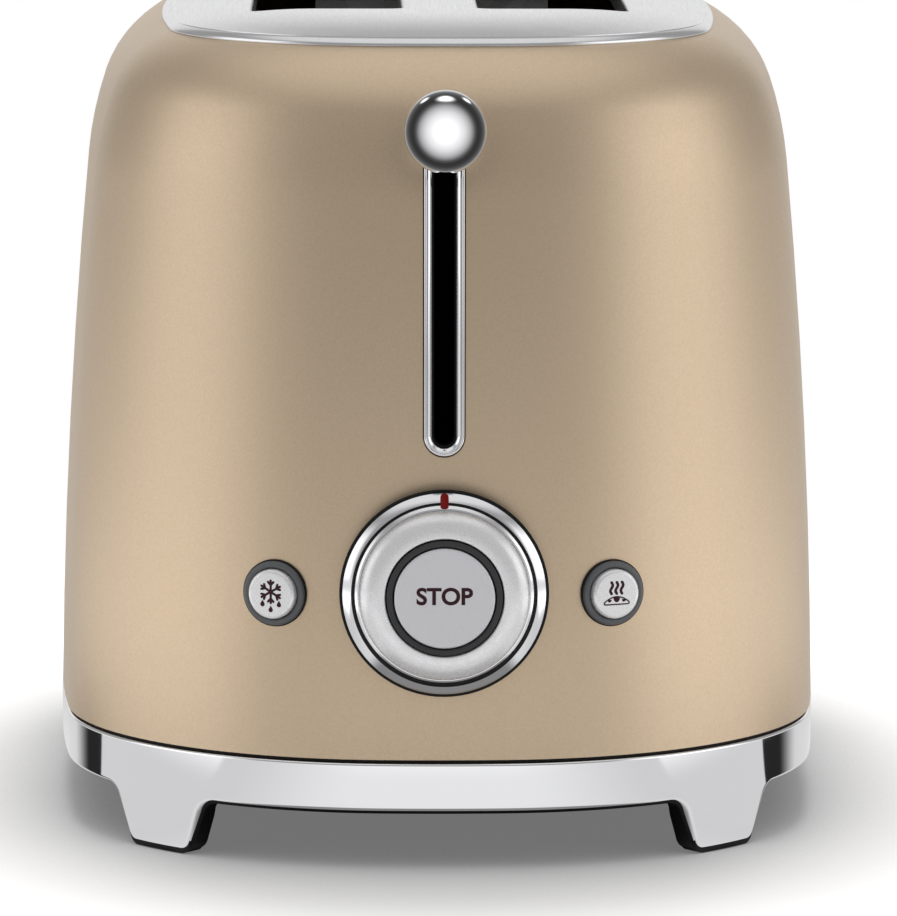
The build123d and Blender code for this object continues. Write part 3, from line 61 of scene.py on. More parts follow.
Socket = bpy.types.NodeSocket
Piece = bpy.types.Object
Point = tuple[float, float]
Corner = tuple[float, float, float]
Pattern = tuple[Socket, Socket]
Face = tuple[int, ...]
Shape = tuple[np.ndarray, list[Face]]

LOG = logging.getLogger("toaster")
MM = 0.001
# Points this near are joined, and edges this short are dropped, in metres
WELD = 1e-7
SPECK = 1e-8
# Slack in plan and height, in millimetres, for the sheet and for the print
HAIR = 1e-6
PRINT_HAIR = 1e-5
# Angles up to which two faces count as one flat, and past which their edge is rounded, and its spans
FLAT_TO = 0.2
ROUND_FROM = 35.0
ROUND_STEPS = 3
# Thickness of a film of ink to each side of the face that it lies on
INK_FILM = 0.04
# Sides of a round wire
WIRE_SIDES = 10
# Signs of X and Y in the four quarters of the plan, anticlockwise
QUARTERS = ((1, 1), (-1, 1), (-1, -1), (1, -1))
# Faces of a box whose corners are listed with Z changing first and X last
BOX_FACES = [(0, 1, 3, 2), (4, 6, 7, 5), (0, 4, 5, 1), (2, 3, 7, 6), (0, 2, 6, 4), (1, 5, 7, 3)]


def linear(code: str) -> tuple[float, float, float, float]:
    """Turn an sRGB hex colour into linear RGBA."""
    parts = [int(code[i:i + 2], 16) / 255 for i in (1, 3, 5)]
    return (*(c / 12.92 if c <= 0.04045 else ((c + 0.055) / 1.055) ** 2.4 for c in parts), 1.0)


def per_metre(size: float) -> float:
    """Turn the size of one grain, in millimetres, into a texture scale."""
    return 1 / (size * MM)


def metres(sizes: Iterable[float]) -> list[float]:
    """Turn sizes in millimetres into metres."""
    return [size * MM for size in sizes]


def add(
    tree: Tree, kind: str, inputs: Mapping[str | int, object] | None = None, **settings: object
) -> Node:
    """Add a node to a tree, with its settings, values and links.

    Args:
        tree: the shader or geometry tree.
        kind: the node's type name.
        inputs: a value, or an output socket to link, for each input's name or place.
        settings: the node's own properties.

    Returns:
        The new node.
    """
    made = tree.nodes.new(kind)
    for key, value in settings.items():
        setattr(made, key, value)
    for key, value in (inputs or {}).items():
        if isinstance(value, Socket):
            tree.links.new(value, made.inputs[key])
        else:
            made.inputs[key].default_value = value
    return made


def reckon(tree: Tree, operation: str, *values: float | Socket) -> Socket:
    """Add a sum on values or sockets."""
    return add(tree, "ShaderNodeMath", dict(enumerate(values)), operation=operation).outputs[0]


def product(tree: Tree, *values: float | Socket) -> Socket:
    """Multiply values or sockets, one after another."""
    return reduce(lambda total, value: reckon(tree, "MULTIPLY", total, value), values)


def blend(tree: Tree, share: float | Socket, first: object, second: object, **settings: object) -> Socket:
    """Mix two colours by a share."""
    ends = {0: share, 6: first, 7: second}
    return add(tree, "ShaderNodeMix", ends, data_type="RGBA", **settings).outputs[2]


def ramp(tree: Tree, value: Socket, ends: Sequence[float], levels: Sequence[float | Socket]) -> Socket:
    """Ease from one level to another.

    Args:
        tree: the tree.
        value: what is measured.
        ends: the values between which the level changes.
        levels: the levels before and after that.

    Returns:
        The eased level.
    """
    names = ("From Min", "From Max", "To Min", "To Max")
    sockets = {"Value": value, **dict(zip(names, (*ends, *levels)))}
    return add(tree, "ShaderNodeMapRange", sockets, interpolation_type="SMOOTHSTEP").outputs[0]


def noise(tree: Tree, place: Socket, size: float, detail: float = 2.0) -> Socket:
    """Add soft noise with grains of a size in millimetres."""
    values = {"Vector": place, "Scale": per_metre(size), "Detail": detail}
    return add(tree, "ShaderNodeTexNoise", values).outputs[0]


def cells(tree: Tree, place: Socket, size: float) -> Mapping[str, Socket]:
    """Add a pattern of cells of a size in millimetres."""
    return add(tree, "ShaderNodeTexVoronoi", {"Vector": place, "Scale": per_metre(size)}).outputs


def bare(name: str) -> bpy.types.Material:
    """Make a material with nothing but its output.

    Args:
        name: the material's name.

    Returns:
        The material.
    """
    made = bpy.data.materials.new(name)
    made.use_nodes = True
    made.node_tree.nodes.remove(made.node_tree.nodes["Principled BSDF"])
    return made


class Side(IntEnum):
    """Side of the object as seen from the front, by the sign of X."""

    LEFT = -1
    RIGHT = 1


class Along(Enum):
    """Axis that a brushed grain runs along, as the stretch of its pattern."""

    X = (0.02, 1.0, 1.0)
    Y = (1.0, 0.02, 1.0)
    Z = (1.0, 1.0, 0.02)


@dataclass(frozen=True)
class Finish:
    """A surface finish: the real material's name, its colour and polish, and the grain that moves them."""

    name: str
    colour: str
    roughness: float
    metallic: float = 0.0
    shade: str = ""
    specular: float = 0.5
    spread: float = 0.1
    grain: float = 1.0
    depth: float = 0.0

    def material(self) -> bpy.types.Material:
        """Find this finish's material, or make it when it is first asked for.

        Returns:
            The material. Its pattern moves the colour towards the shade and the roughness to both sides of
            its value, and raises the surface to the grain's depth.
        """
        made = bpy.data.materials.get(self.name)
        if made:
            return made
        made = bpy.data.materials.new(self.name)
        made.use_nodes = True
        tree = made.node_tree
        shader = tree.nodes["Principled BSDF"].inputs
        shader["Base Color"].default_value = linear(self.colour)
        shader["Roughness"].default_value = self.roughness
        shader["Metallic"].default_value = self.metallic
        shader["Specular IOR Level"].default_value = self.specular
        gloss, relief = self.pattern(tree, add(tree, "ShaderNodeTexCoord").outputs["Object"])
        if self.shade:
            tint = blend(tree, gloss, linear(self.colour), linear(self.shade))
            tree.links.new(tint, shader["Base Color"])
        half = self.spread / 2
        limits = {"Value": gloss, "To Min": self.roughness - half, "To Max": self.roughness + half}
        tree.links.new(add(tree, "ShaderNodeMapRange", limits).outputs["Result"], shader["Roughness"])
        if self.depth:
            bumps = {"Height": relief, "Distance": self.depth * MM, "Strength": 1.0}
            tree.links.new(add(tree, "ShaderNodeBump", bumps).outputs["Normal"], shader["Normal"])
        return made

    def pattern(self, tree: Tree, place: Socket) -> Pattern:
        """Draw what the eye finds, over Object coordinates: one pattern for the gloss, one for the relief."""
        raise NotImplementedError


@dataclass(frozen=True)
class SprayedLacquer(Finish):
    """Metallic lacquer sprayed on: aligned flake glints under a faint orange peel."""

    spread: float = 0.06
    grain: float = 0.4
    depth: float = 0.0012
    peel: float = 2.6
    detail: float = 1.0

    def pattern(self, tree: Tree, place: Socket) -> Pattern:
        """Real flake is about 0.05 mm, so it is drawn eight times coarser to show at all."""
        return cells(tree, place, self.grain)["Color"], noise(tree, place, self.peel, self.detail)


@dataclass(frozen=True)
class PlatedMetal(Finish):
    """Plated or polished metal: a mirror dulled here and there by wiping."""

    spread: float = 0.05
    grain: float = 18.0
    detail: float = 3.0

    def pattern(self, tree: Tree, place: Socket) -> Pattern:
        """Soft clouds of slightly duller plate."""
        return (noise(tree, place, self.grain, self.detail),) * 2


@dataclass(frozen=True)
class BrushedMetal(Finish):
    """Sheet brushed one way: fine lines that pull highlights across the grain."""

    spread: float = 0.12
    grain: float = 0.35
    depth: float = 0.0012
    along: Along = Along.Y

    def pattern(self, tree: Tree, place: Socket) -> Pattern:
        """Real lines are about 0.05 mm wide, so they are drawn coarser to show."""
        stretched = add(tree, "ShaderNodeMapping", {"Vector": place, "Scale": self.along.value})
        return (noise(tree, stretched.outputs[0], self.grain),) * 2


@dataclass(frozen=True)
class TurnedMetal(Finish):
    """Metal faced on a lathe: fine rings about an axis along Y."""

    grain: float = 0.3
    depth: float = 0.002
    centre: Corner = (0.0, 0.0, 0.0)

    def pattern(self, tree: Tree, place: Socket) -> Pattern:
        """Rings of a tenth of a millimetre, drawn three times coarser to show.

        Args:
            tree: the material's tree.
            place: Object coordinates, in metres.

        Returns:
            The rings, for the gloss and for the relief.
        """
        flat = {"Vector": place, "Location": [-c * MM for c in self.centre], "Scale": (1.0, 0.0, 1.0)}
        centred = add(tree, "ShaderNodeMapping", flat).outputs[0]
        radius = add(tree, "ShaderNodeVectorMath", {0: centred}, operation="LENGTH").outputs["Value"]
        rings = {"W": radius, "Scale": per_metre(self.grain)}
        return (add(tree, "ShaderNodeTexNoise", rings, noise_dimensions="1D").outputs[0],) * 2


@dataclass(frozen=True)
class MouldedPlastic(Finish):
    """Plastic or rubber from a mould: an even spark-eroded grain."""

    spread: float = 0.14
    grain: float = 0.45
    depth: float = 0.012

    def pattern(self, tree: Tree, place: Socket) -> Pattern:
        """A grain of small bumps, with a little unevenness in its gloss."""
        return (noise(tree, place, self.grain),) * 2


@dataclass(frozen=True)
class SpangledSheet(Finish):
    """Galvanised sheet: zinc crystals that catch the light patch by patch."""

    spread: float = 0.2
    grain: float = 5.0

    def pattern(self, tree: Tree, place: Socket) -> Pattern:
        """Cells a few millimetres wide, each with its own shade and gloss."""
        return (cells(tree, place, self.grain)["Color"],) * 2


@dataclass(frozen=True)
class PressedMica(Finish):
    """Mica paper: pressed flakes with silvery edges."""

    spread: float = 0.25
    grain: float = 2.2
    depth: float = 0.02

    def pattern(self, tree: Tree, place: Socket) -> Pattern:
        """Overlapping flakes of a couple of millimetres."""
        flakes = cells(tree, place, self.grain)
        return flakes["Color"], flakes["Distance"]


@dataclass(frozen=True)
class WoundWire(Finish):
    """Enamelled wire wound in layers: close level turns."""

    grain: float = 0.5
    depth: float = 0.1

    def pattern(self, tree: Tree, place: Socket) -> Pattern:
        """Each turn is one wave, drawn about twice as coarse as the wire to show."""
        waves = {"Vector": place, "Scale": per_metre(self.grain) / (2 * pi)}
        return (add(tree, "ShaderNodeTexWave", waves, bands_direction="Z").outputs[1],) * 2


# The finishes, each under what it gives the eye

# A warm satin glow
LACQUER = SprayedLacquer("champagne_metallic_lacquer", "#d0bba1", 0.42, 0.85, "#c9b499")
# A mirror with cold hard edges
CHROME = PlatedMetal("bright_chrome_plate", "#e4e4e6", 0.05, 1.0)
# A mirror that fans the light out from its middle
TURNED = TurnedMetal("turned_plated_steel", "#dedee0", 0.14, 1.0)
# A soft silver mirror
TOP_STEEL = BrushedMetal("polished_stainless_sheet", "#dededf", 0.2, 1.0, "#d3d3d5")
# A bright pearl gloss
SILVER = MouldedPlastic("silver_lacquered_abs", "#e4e4e6", 0.28, 0.4, "#dededf", grain=1.2, depth=0.0005)
# A calmer silver, for the face that carries the print
SATIN = MouldedPlastic("satin_silver_abs", "#d2d2d5", 0.42, 0.3, "#cbcbcf", grain=0.5, depth=0.002)
# Dark grey, semi-matt
CHARCOAL = MouldedPlastic("charcoal_abs", "#363637", 0.45, 0.0, "#303031", specular=0.3)
# A blue mid grey
SLATE = MouldedPlastic("slate_grey_abs", "#56585b", 0.4, 0.0, "#4f5154", depth=0.004)
# Black with a dull sheen
BLACK = MouldedPlastic("black_polypropylene", "#0e0e0f", 0.5, 0.0, "#0b0b0c", specular=0.12)
# Dead black
RUBBER = MouldedPlastic("black_rubber", "#0d0d0e", 0.75, 0.0, "#121212", specular=0.3)
# Patchy blue grey crystals
SHEET = SpangledSheet("galvanised_sheet", "#c3c5c8", 0.45, 0.45, "#adb0b3")
# Black, as painted shade: sheets seen through the lever's slot, blackened to stand for the dark inside
SHADE_BLACK_STEEL = PlatedMetal("steel_blackened_as_painted_shade", "#0b0b0c", 0.7, 0.0, "#080809", specular=0.1, grain=6.0)
# A warm grey shine
WIRE = PlatedMetal("nickel_plated_wire", "#bfbeba", 0.2, 1.0, "#aaa8a2")
# Pale dull steel
ZINC = PlatedMetal("zinc_plated_screw_steel", "#b9bcc0", 0.3, 1.0, "#a3a6aa", grain=4.0)
# Pale brown flakes
MICA = PressedMica("pressed_mica_sheet", "#b7a17c", 0.5, 0.0, "#cdbb98")
# Dull grey brown
ALLOY = PlatedMetal("oxidised_heating_alloy", "#5d5751", 0.5, 1.0, "#48423d", grain=3.0)
# Glossy dark green
RESIST = MouldedPlastic("green_solder_resist", "#1d4632", 0.3, 0.0, "#163a29")
# Warm lacquered turns
COPPER = WoundWire("enamelled_copper_wire", "#a4562e", 0.3, 0.9, "#8a4423")
# Dark maroon
INK = MouldedPlastic("maroon_printing_ink", "#35121b", 0.5, 0.0, "#2e0f17", specular=0.2, grain=0.3)
# Deep red
RED = MouldedPlastic("red_abs", "#780806", 0.35, 0.0, "#700705", specular=0.15, grain=0.5, depth=0.003)


def rounded(corners: Sequence[Corner], closed: bool = True, steps: int = 6) -> np.ndarray:
    """Round the corners of an outline.

    Args:
        corners: x, y and rounding radius of each corner.
        closed: whether the last corner joins the first; the ends of an open outline stay sharp.
        steps: spans in each rounding.

    Returns:
        The outline's points, one row each.
    """
    points: list[np.ndarray] = []
    count = len(corners)
    for i, (x, y, radius) in enumerate(corners):
        here = np.array((x, y))
        if radius <= 0 or (not closed and i in (0, count - 1)):
            points.append(here)
            continue
        back = np.array(corners[i - 1][:2]) - here
        ahead = np.array(corners[(i + 1) % count][:2]) - here
        back, ahead = back / np.linalg.norm(back), ahead / np.linalg.norm(ahead)
        half = np.arccos(np.clip(back @ ahead, -1, 1)) / 2
        middle = here + (back + ahead) / np.linalg.norm(back + ahead) * radius / sin(half)
        start = here + back * radius / tan(half) - middle
        end = here + ahead * radius / tan(half) - middle
        turn = atan2(start[0] * end[1] - start[1] * end[0], start @ end)
        for step in range(steps + 1):
            c, s = cos(turn * step / steps), sin(turn * step / steps)
            points.append(middle + (c * start[0] - s * start[1], s * start[0] + c * start[1]))
    return np.array(points)


def button(radius: float, front: float, back: float, edge: float) -> np.ndarray:
    """Outline of a button with a rounded rim, from the middle of its front to the middle of its back."""
    return rounded([(0.0, front, 0), (radius, front, edge), (radius, back, 0), (0.0, back, 0)], closed=False)


def collar(bore: float, radius: float, back: float, front: float, edges: Point) -> np.ndarray:
    """Outline of a collar, with roundings at the front of its outer and its inner side."""
    outer, inner = edges
    return rounded([(bore, back, 0), (radius, back, 0), (radius, front, outer), (bore, front, inner)])


@dataclass(frozen=True)
class Axis:
    """A line that a round piece is turned about, level or straight down."""

    origin: Corner
    heading: float = 0.0
    down: bool = False

    @property
    def forward(self) -> np.ndarray:
        """Unit vector out of the face: heading 0 looks along -Y, and turns towards +X."""
        turn = radians(self.heading)
        return np.array((0.0, 0.0, -1.0)) if self.down else np.array((sin(turn), -cos(turn), 0.0))

    @property
    def across(self) -> np.ndarray:
        """Unit vector to the right, as seen from in front of the face."""
        return np.array((cos(radians(self.heading)), sin(radians(self.heading)), 0.0))

    def place(self, across: np.ndarray, up: np.ndarray, forward: np.ndarray) -> np.ndarray:
        """Turn distances across, up and forward of the origin into points."""
        ways = np.array((self.across, np.cross(self.forward, self.across), self.forward))
        return np.array(self.origin) + np.stack((across, up, forward), axis=-1) @ ways


def turned(outline: np.ndarray, axis: Axis, segments: int = 128) -> Shape:
    """Turn an outline about an axis.

    Args:
        outline: radius and reach forward of each point. One that starts and ends on the axis makes a solid,
            and any other one is closed into a ring.
        axis: the line to turn about.
        segments: spans round the axis.

    Returns:
        Points and faces.
    """
    angles = np.linspace(0, 2 * pi, segments, endpoint=False)
    radius, reach = outline[:, :1], outline[:, 1:]
    points = axis.place(radius * np.cos(angles), radius * np.sin(angles), reach + 0 * angles)
    return points.reshape(-1, 3), lattice(len(outline), segments, wrap_rows=outline[0, 0] > 0)


def finely(line: np.ndarray, step: float) -> np.ndarray:
    """Add points to an open line.

    Args:
        line: its points.
        step: how far apart they may lie.

    Returns:
        All points, in order.
    """
    points = [line[:1]]
    for start, end in zip(line[:-1], line[1:]):
        count = ceil(np.linalg.norm(end - start) / step)
        points.append(start + (end - start) * np.arange(1, count + 1)[:, None] / count)
    return np.concatenate(points)


def lattice(rows: int, columns: int, wrap_rows: bool = False) -> list[Face]:
    """Span rows of points that each close on themselves.

    Args:
        rows: how many rows.
        columns: points in each.
        wrap_rows: whether the last row joins the first.

    Returns:
        The faces.
    """
    faces = []
    for i in range(rows if wrap_rows else rows - 1):
        here, above = i * columns, (i + 1) % rows * columns
        for j in range(columns):
            k = (j + 1) % columns
            faces.append((here + j, here + k, above + k, above + j))
    return faces


def joined(shapes: Iterable[Shape]) -> Shape:
    """Put shapes together as one.

    Args:
        shapes: points and faces of each.

    Returns:
        All points and faces, in the same order.
    """
    points: list[np.ndarray] = []
    faces: list[Face] = []
    count = 0
    for more, held in shapes:
        points.append(more)
        faces += [tuple(i + count for i in face) for face in held]
        count += len(more)
    return np.concatenate(points), faces


def stand(name: str, data: bpy.types.ID | None) -> Piece:
    """Put an object into the scene.

    Args:
        name: its name.
        data: its mesh, curve, lamp or camera.

    Returns:
        The new object, at the origin.
    """
    made = bpy.data.objects.new(name, data)
    bpy.context.scene.collection.objects.link(made)
    return made


def smooth(mesh: bpy.types.Mesh, crease: float) -> None:
    """Shade a mesh smoothly, but for edges sharper than an angle."""
    mesh.shade_smooth()
    mesh.set_sharp_from_angle(angle=radians(crease))


def solid(
    name: str,
    shape: Shape,
    finishes: Sequence[Finish],
    marks: Sequence[int] | None = None,
    crease: float = 40.0,
    closed: bool = True,
) -> Piece:
    """Make a mesh piece at the origin.

    Args:
        name: the piece's name.
        shape: points in millimetres, and faces.
        finishes: the piece's finishes.
        marks: the finish of each face, where there is more than one.
        crease: angle past which an edge stays sharp.
        closed: whether the shape encloses a volume; an open sheet keeps its own faces' direction.

    Returns:
        The new object.
    """
    points, faces = shape
    mesh = bpy.data.meshes.new(name)
    mesh.from_pydata(np.asarray(points) * MM, [], faces)
    for finish in finishes:
        mesh.materials.append(finish.material())
    if marks is not None:
        mesh.polygons.foreach_set("material_index", list(marks))
    worked = bmesh.new()
    worked.from_mesh(mesh)
    bmesh.ops.remove_doubles(worked, verts=worked.verts, dist=WELD)
    bmesh.ops.dissolve_degenerate(worked, edges=worked.edges, dist=SPECK)
    if closed:
        bmesh.ops.recalc_face_normals(worked, faces=worked.faces)
    worked.to_mesh(mesh)
    worked.free()
    smooth(mesh, crease)
    return stand(name, mesh)


def plain(made: Piece) -> Piece:
    """Turn an object's evaluated shape into its own plain mesh.

    Args:
        made: the object.

    Returns:
        The same object, with no modifiers left.
    """
    mesh = bpy.data.meshes.new_from_object(made.evaluated_get(bpy.context.evaluated_depsgraph_get()))
    made.modifiers.clear()
    made.data = mesh
    return made


def even(made: Piece) -> Piece:
    """Weight a piece's shading by its faces, so that flats stay flat beside small roundings."""
    made.modifiers.new("flats", "WEIGHTED_NORMAL").keep_sharp = True
    return plain(made)


def lathe(name: str, outline: np.ndarray, axis: Axis, finish: Finish, segments: int = 128) -> Piece:
    """Turn an outline about an axis into a piece in one finish."""
    return even(solid(name, turned(outline, axis, segments), (finish,)))


def settle(made: Piece, body: str, slot: str, *nodes: str) -> None:
    """Fix a finished piece to its body, and report it.

    Args:
        made: the piece.
        body: the body that it rides on.
        slot: its material slot; not used.
        nodes: the CAD nodes that it stands for.
    """
    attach(made, body)
    if nodes:
        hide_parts(*nodes)
    LOG.info("piece %s on %s, %d faces", made.name, body, len(made.data.polygons))


def dress(finish: Finish, *nodes: str) -> None:
    """Give carried-over CAD nodes a finish.

    Args:
        finish: the finish.
        nodes: the nodes' names.
    """
    for node in nodes:
        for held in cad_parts[node].material_slots:
            held.material = finish.material()
        LOG.info("node %s in %s", node, finish.name)


def merged(name: str, node: str, finish: Finish) -> Piece:
    """Copy a CAD node as one joined skin.

    Args:
        name: the copy's name.
        node: the node's name.
        finish: the copy's finish.

    Returns:
        The copy.
    """
    worked = bmesh.new()
    worked.from_mesh(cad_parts[node].data)
    bmesh.ops.remove_doubles(worked, verts=worked.verts, dist=WELD)
    mesh = bpy.data.meshes.new(name)
    worked.to_mesh(mesh)
    worked.free()
    mesh.materials.append(finish.material())
    mesh.polygons.foreach_set("material_index", np.zeros(len(mesh.polygons), dtype=np.int32))
    mesh.shade_smooth()
    return stand(name, mesh)


def softened(name: str, node: str, width: float, finish: Finish) -> Piece:
    """Copy a CAD node with its outer edges rounded, and its inner corners left.

    Args:
        name: the copy's name.
        node: the node's name.
        width: the roundings' width.
        finish: the copy's finish.

    Returns:
        The copy.
    """
    made = merged(name, node, finish)
    worked = bmesh.new()
    worked.from_mesh(made.data)
    bmesh.ops.dissolve_limit(worked, angle_limit=radians(FLAT_TO), verts=worked.verts, edges=worked.edges)
    worked.normal_update()
    weight = worked.edges.layers.float.new("bevel_weight_edge")
    for edge in worked.edges:
        edge[weight] = float(edge.is_convex and edge.calc_face_angle(0.0) > radians(ROUND_FROM))
    worked.to_mesh(made.data)
    worked.free()
    rounding = made.modifiers.new("edges", "BEVEL")
    rounding.width = width * MM
    rounding.segments = ROUND_STEPS
    rounding.limit_method = "WEIGHT"
    rounding.harden_normals = True
    return plain(made)


def aim(
    mesh: bpy.types.Mesh, faces: Iterable[bpy.types.MeshPolygon], chosen: np.ndarray, normals: np.ndarray
) -> None:
    """Set the shading normals at some of a mesh's corners.

    Args:
        mesh: the mesh.
        faces: the faces whose corners may change.
        chosen: whether the corners at each vertex change.
        normals: the normal at each vertex.
    """
    held = np.array([corner.vector for corner in mesh.corner_normals])
    for face in faces:
        for corner, vertex in zip(face.loop_indices, face.vertices):
            if chosen[vertex]:
                held[corner] = normals[vertex]
    mesh.normals_split_custom_set(held)


def points_of(made: Piece) -> np.ndarray:
    """Points of a piece's mesh, in millimetres."""
    return np.array([v.co for v in made.data.vertices]) / MM


def box_of(node: str) -> tuple[np.ndarray, np.ndarray]:
    """Lowest and highest corner of a CAD node at rest, in millimetres."""
    low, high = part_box(node)
    return np.array(low) / MM, np.array(high) / MM


@dataclass(frozen=True)
class BodyForm:
    """Form of the body: plan arcs that meet in tangent, under a side profile that leans in."""

    half_width: float
    half_length: float
    bottom: float
    end_radius: float = 272.0
    corner_radius: float = 82.0
    side_radius: float = 686.0
    setback: float = 0.1
    lean: float = 0.75
    profile_radius: float = 1628.0
    side_rise: float = 133.3
    shoulder_radius: float = 85.0
    shoulder_lean: float = 19.0
    crown_radius: float = 24.0

    @property
    def end_centre(self) -> float:
        """Distance from the middle to the centre of an end arc, along Y."""
        return self.half_length - self.end_radius

    @property
    def side_centre(self) -> float:
        """Distance from the middle to the centre of a side arc, along X."""
        return self.half_width - self.side_radius

    @property
    def corner_centre(self) -> Point:
        """Find the corner arc that touches the end arc and the side arc.

        Returns:
            Its centre, in the first quarter.
        """
        a = self.end_radius - self.corner_radius
        b = self.side_radius - self.corner_radius
        span = hypot(self.side_centre, self.end_centre)
        along = (a * a - b * b + span * span) / (2 * span)
        off = sqrt(a * a - along * along)
        ux, uy = self.side_centre / span, -self.end_centre / span
        return along * ux + off * uy, self.end_centre + along * uy - off * ux

    def arcs(self) -> list[tuple[float, float, float, float, float]]:
        """List the eight plan arcs, anticlockwise from the right side.

        Returns:
            Centre, radius, start and sweep of each.
        """
        cx, cy = self.corner_centre
        side = degrees(atan2(cy, cx - self.side_centre))
        end = degrees(atan2(cx, cy - self.end_centre))
        corner = 90 - side - end
        return [
            (self.side_centre, 0, self.side_radius, -side, 2 * side),
            (cx, cy, self.corner_radius, side, corner),
            (0, self.end_centre, self.end_radius, 90 - end, 2 * end),
            (-cx, cy, self.corner_radius, 90 + end, corner),
            (-self.side_centre, 0, self.side_radius, 180 - side, 2 * side),
            (-cx, -cy, self.corner_radius, 180 + side, corner),
            (0, -self.end_centre, self.end_radius, 270 - end, 2 * end),
            (cx, -cy, self.corner_radius, 270 + end, corner),
        ]

    def outline(self, inset: float, step: float = 2.0) -> np.ndarray:
        """Walk round the plan.

        Args:
            inset: how far inside the outline.
            step: about how far apart the points lie.

        Returns:
            Plan points, as many for every inset.
        """
        points = []
        for cx, cy, radius, start, sweep in self.arcs():
            count = ceil(radius * radians(sweep) / step)
            for angle in np.radians(start + sweep * np.arange(count) / count):
                points.append((cx + (radius - inset) * cos(angle), cy + (radius - inset) * sin(angle)))
        return np.array(points)

    def nearest(self, points: np.ndarray) -> tuple[np.ndarray, np.ndarray, np.ndarray]:
        """Find the plan arc by each point, with the plan folded into its first quarter.

        Args:
            points: plan points.

        Returns:
            Their x and y from the arc's centre, and the arc's radius.
        """
        x, y = np.abs(points).T
        cx, cy = self.corner_centre
        beside = np.arctan2(y, x - self.side_centre) <= atan2(cy, cx - self.side_centre)
        before = np.arctan2(x, y - self.end_centre) <= atan2(cx, cy - self.end_centre)
        arcs = (beside, before)
        centre_x = np.select(arcs, (self.side_centre, 0.0), cx)
        centre_y = np.select(arcs, (0.0, self.end_centre), cy)
        radius = np.select(arcs, (self.side_radius, self.end_radius), self.corner_radius)
        return x - centre_x, y - centre_y, radius

    def depth(self, points: np.ndarray) -> np.ndarray:
        """How far plan points lie inside the outline."""
        x, y, radius = self.nearest(points)
        return radius - np.hypot(x, y)

    def outward(self, points: np.ndarray) -> np.ndarray:
        """Unit vectors out of the plan outline, at plan points on or near it."""
        away = np.stack(self.nearest(points)[:2], axis=1) * np.where(points < 0, -1.0, 1.0)
        return away / np.linalg.norm(away, axis=1)[:, None]

    def side(self, height: np.ndarray) -> tuple[np.ndarray, np.ndarray]:
        """Follow the shell's side, shoulder and crown arcs up to some heights.

        Args:
            height: heights above the floor.

        Returns:
            The inset from the plan outline at each height, and the lean there in radians.
        """
        start, low, inset = sin(radians(self.lean)), self.bottom, self.setback
        ends = (start + self.side_rise / self.profile_radius, sin(radians(self.shoulder_lean)), 1.0)
        insets, leans = np.zeros_like(height), np.zeros_like(height)
        for radius, end in zip((self.profile_radius, self.shoulder_radius, self.crown_radius), ends):
            here = height >= low - HAIR
            slope = np.arcsin(np.clip(start + (height - low) / radius, -1, 1))
            first = cos(asin(start))
            insets = np.where(here, inset + radius * (first - np.cos(slope)), insets)
            leans = np.where(here, slope, leans)
            inset += radius * (first - cos(asin(end)))
            low += radius * (end - start)
            start = end
        return insets, leans

    def on_front(self, x: np.ndarray, height: np.ndarray, proud: np.ndarray) -> np.ndarray:
        """Find points over the shell's front face.

        Args:
            x: places across it.
            height: places up it.
            proud: how far the points stand out of it.

        Returns:
            The points.
        """
        inset, slope = self.side(height)
        radius = self.end_radius - inset
        turn = np.arcsin(x / radius)
        face = np.stack((x, -self.end_centre - radius * np.cos(turn), height), axis=-1)
        flat = np.cos(slope)
        normal = np.stack((np.sin(turn) * flat, -np.cos(turn) * flat, np.sin(slope)), axis=-1)
        return face + normal * np.asarray(proud)[..., None]


@dataclass
class BodyShell:
    """Pressed and lacquered shell: the CAD form, shaded as the smooth curves that it was drawn with."""

    form: BodyForm
    skin: float = 0.03
    crease: float = 30.0
    facing: float = 0.8

    def build(self) -> None:
        """Copy the shell and point its outer corners' normals along the drawn form."""
        made = merged("body_shell_lacquered", "body_shell", LACQUER)
        smooth(made.data, self.crease)
        points = points_of(made)
        inset, lean = self.form.side(points[:, 2])
        outer = np.abs(self.form.depth(points[:, :2]) - inset) < self.skin
        flat = self.form.outward(points[:, :2])
        drawn = np.column_stack((flat * np.cos(lean)[:, None], np.sin(lean)))
        skin = []
        for face in made.data.polygons:
            held = list(face.vertices)
            if outer[held].all() and drawn[held].mean(axis=0) @ np.array(face.normal) > self.facing:
                skin.append(face)
        aim(made.data, skin, outer, drawn)
        settle(made, "housing", "shell_paint", "body_shell")


# Angle on a plan arc, height of the ring's lower edge there, and the way in from it along the plan and up
Mark = tuple[float, float, float, float]


class Station(NamedTuple):
    """A place round the ring's plan: its arc and angle, the lower edge's height, and the way in from it."""

    cx: float
    cy: float
    radius: float
    angle: float
    low: float
    along: float
    up: float


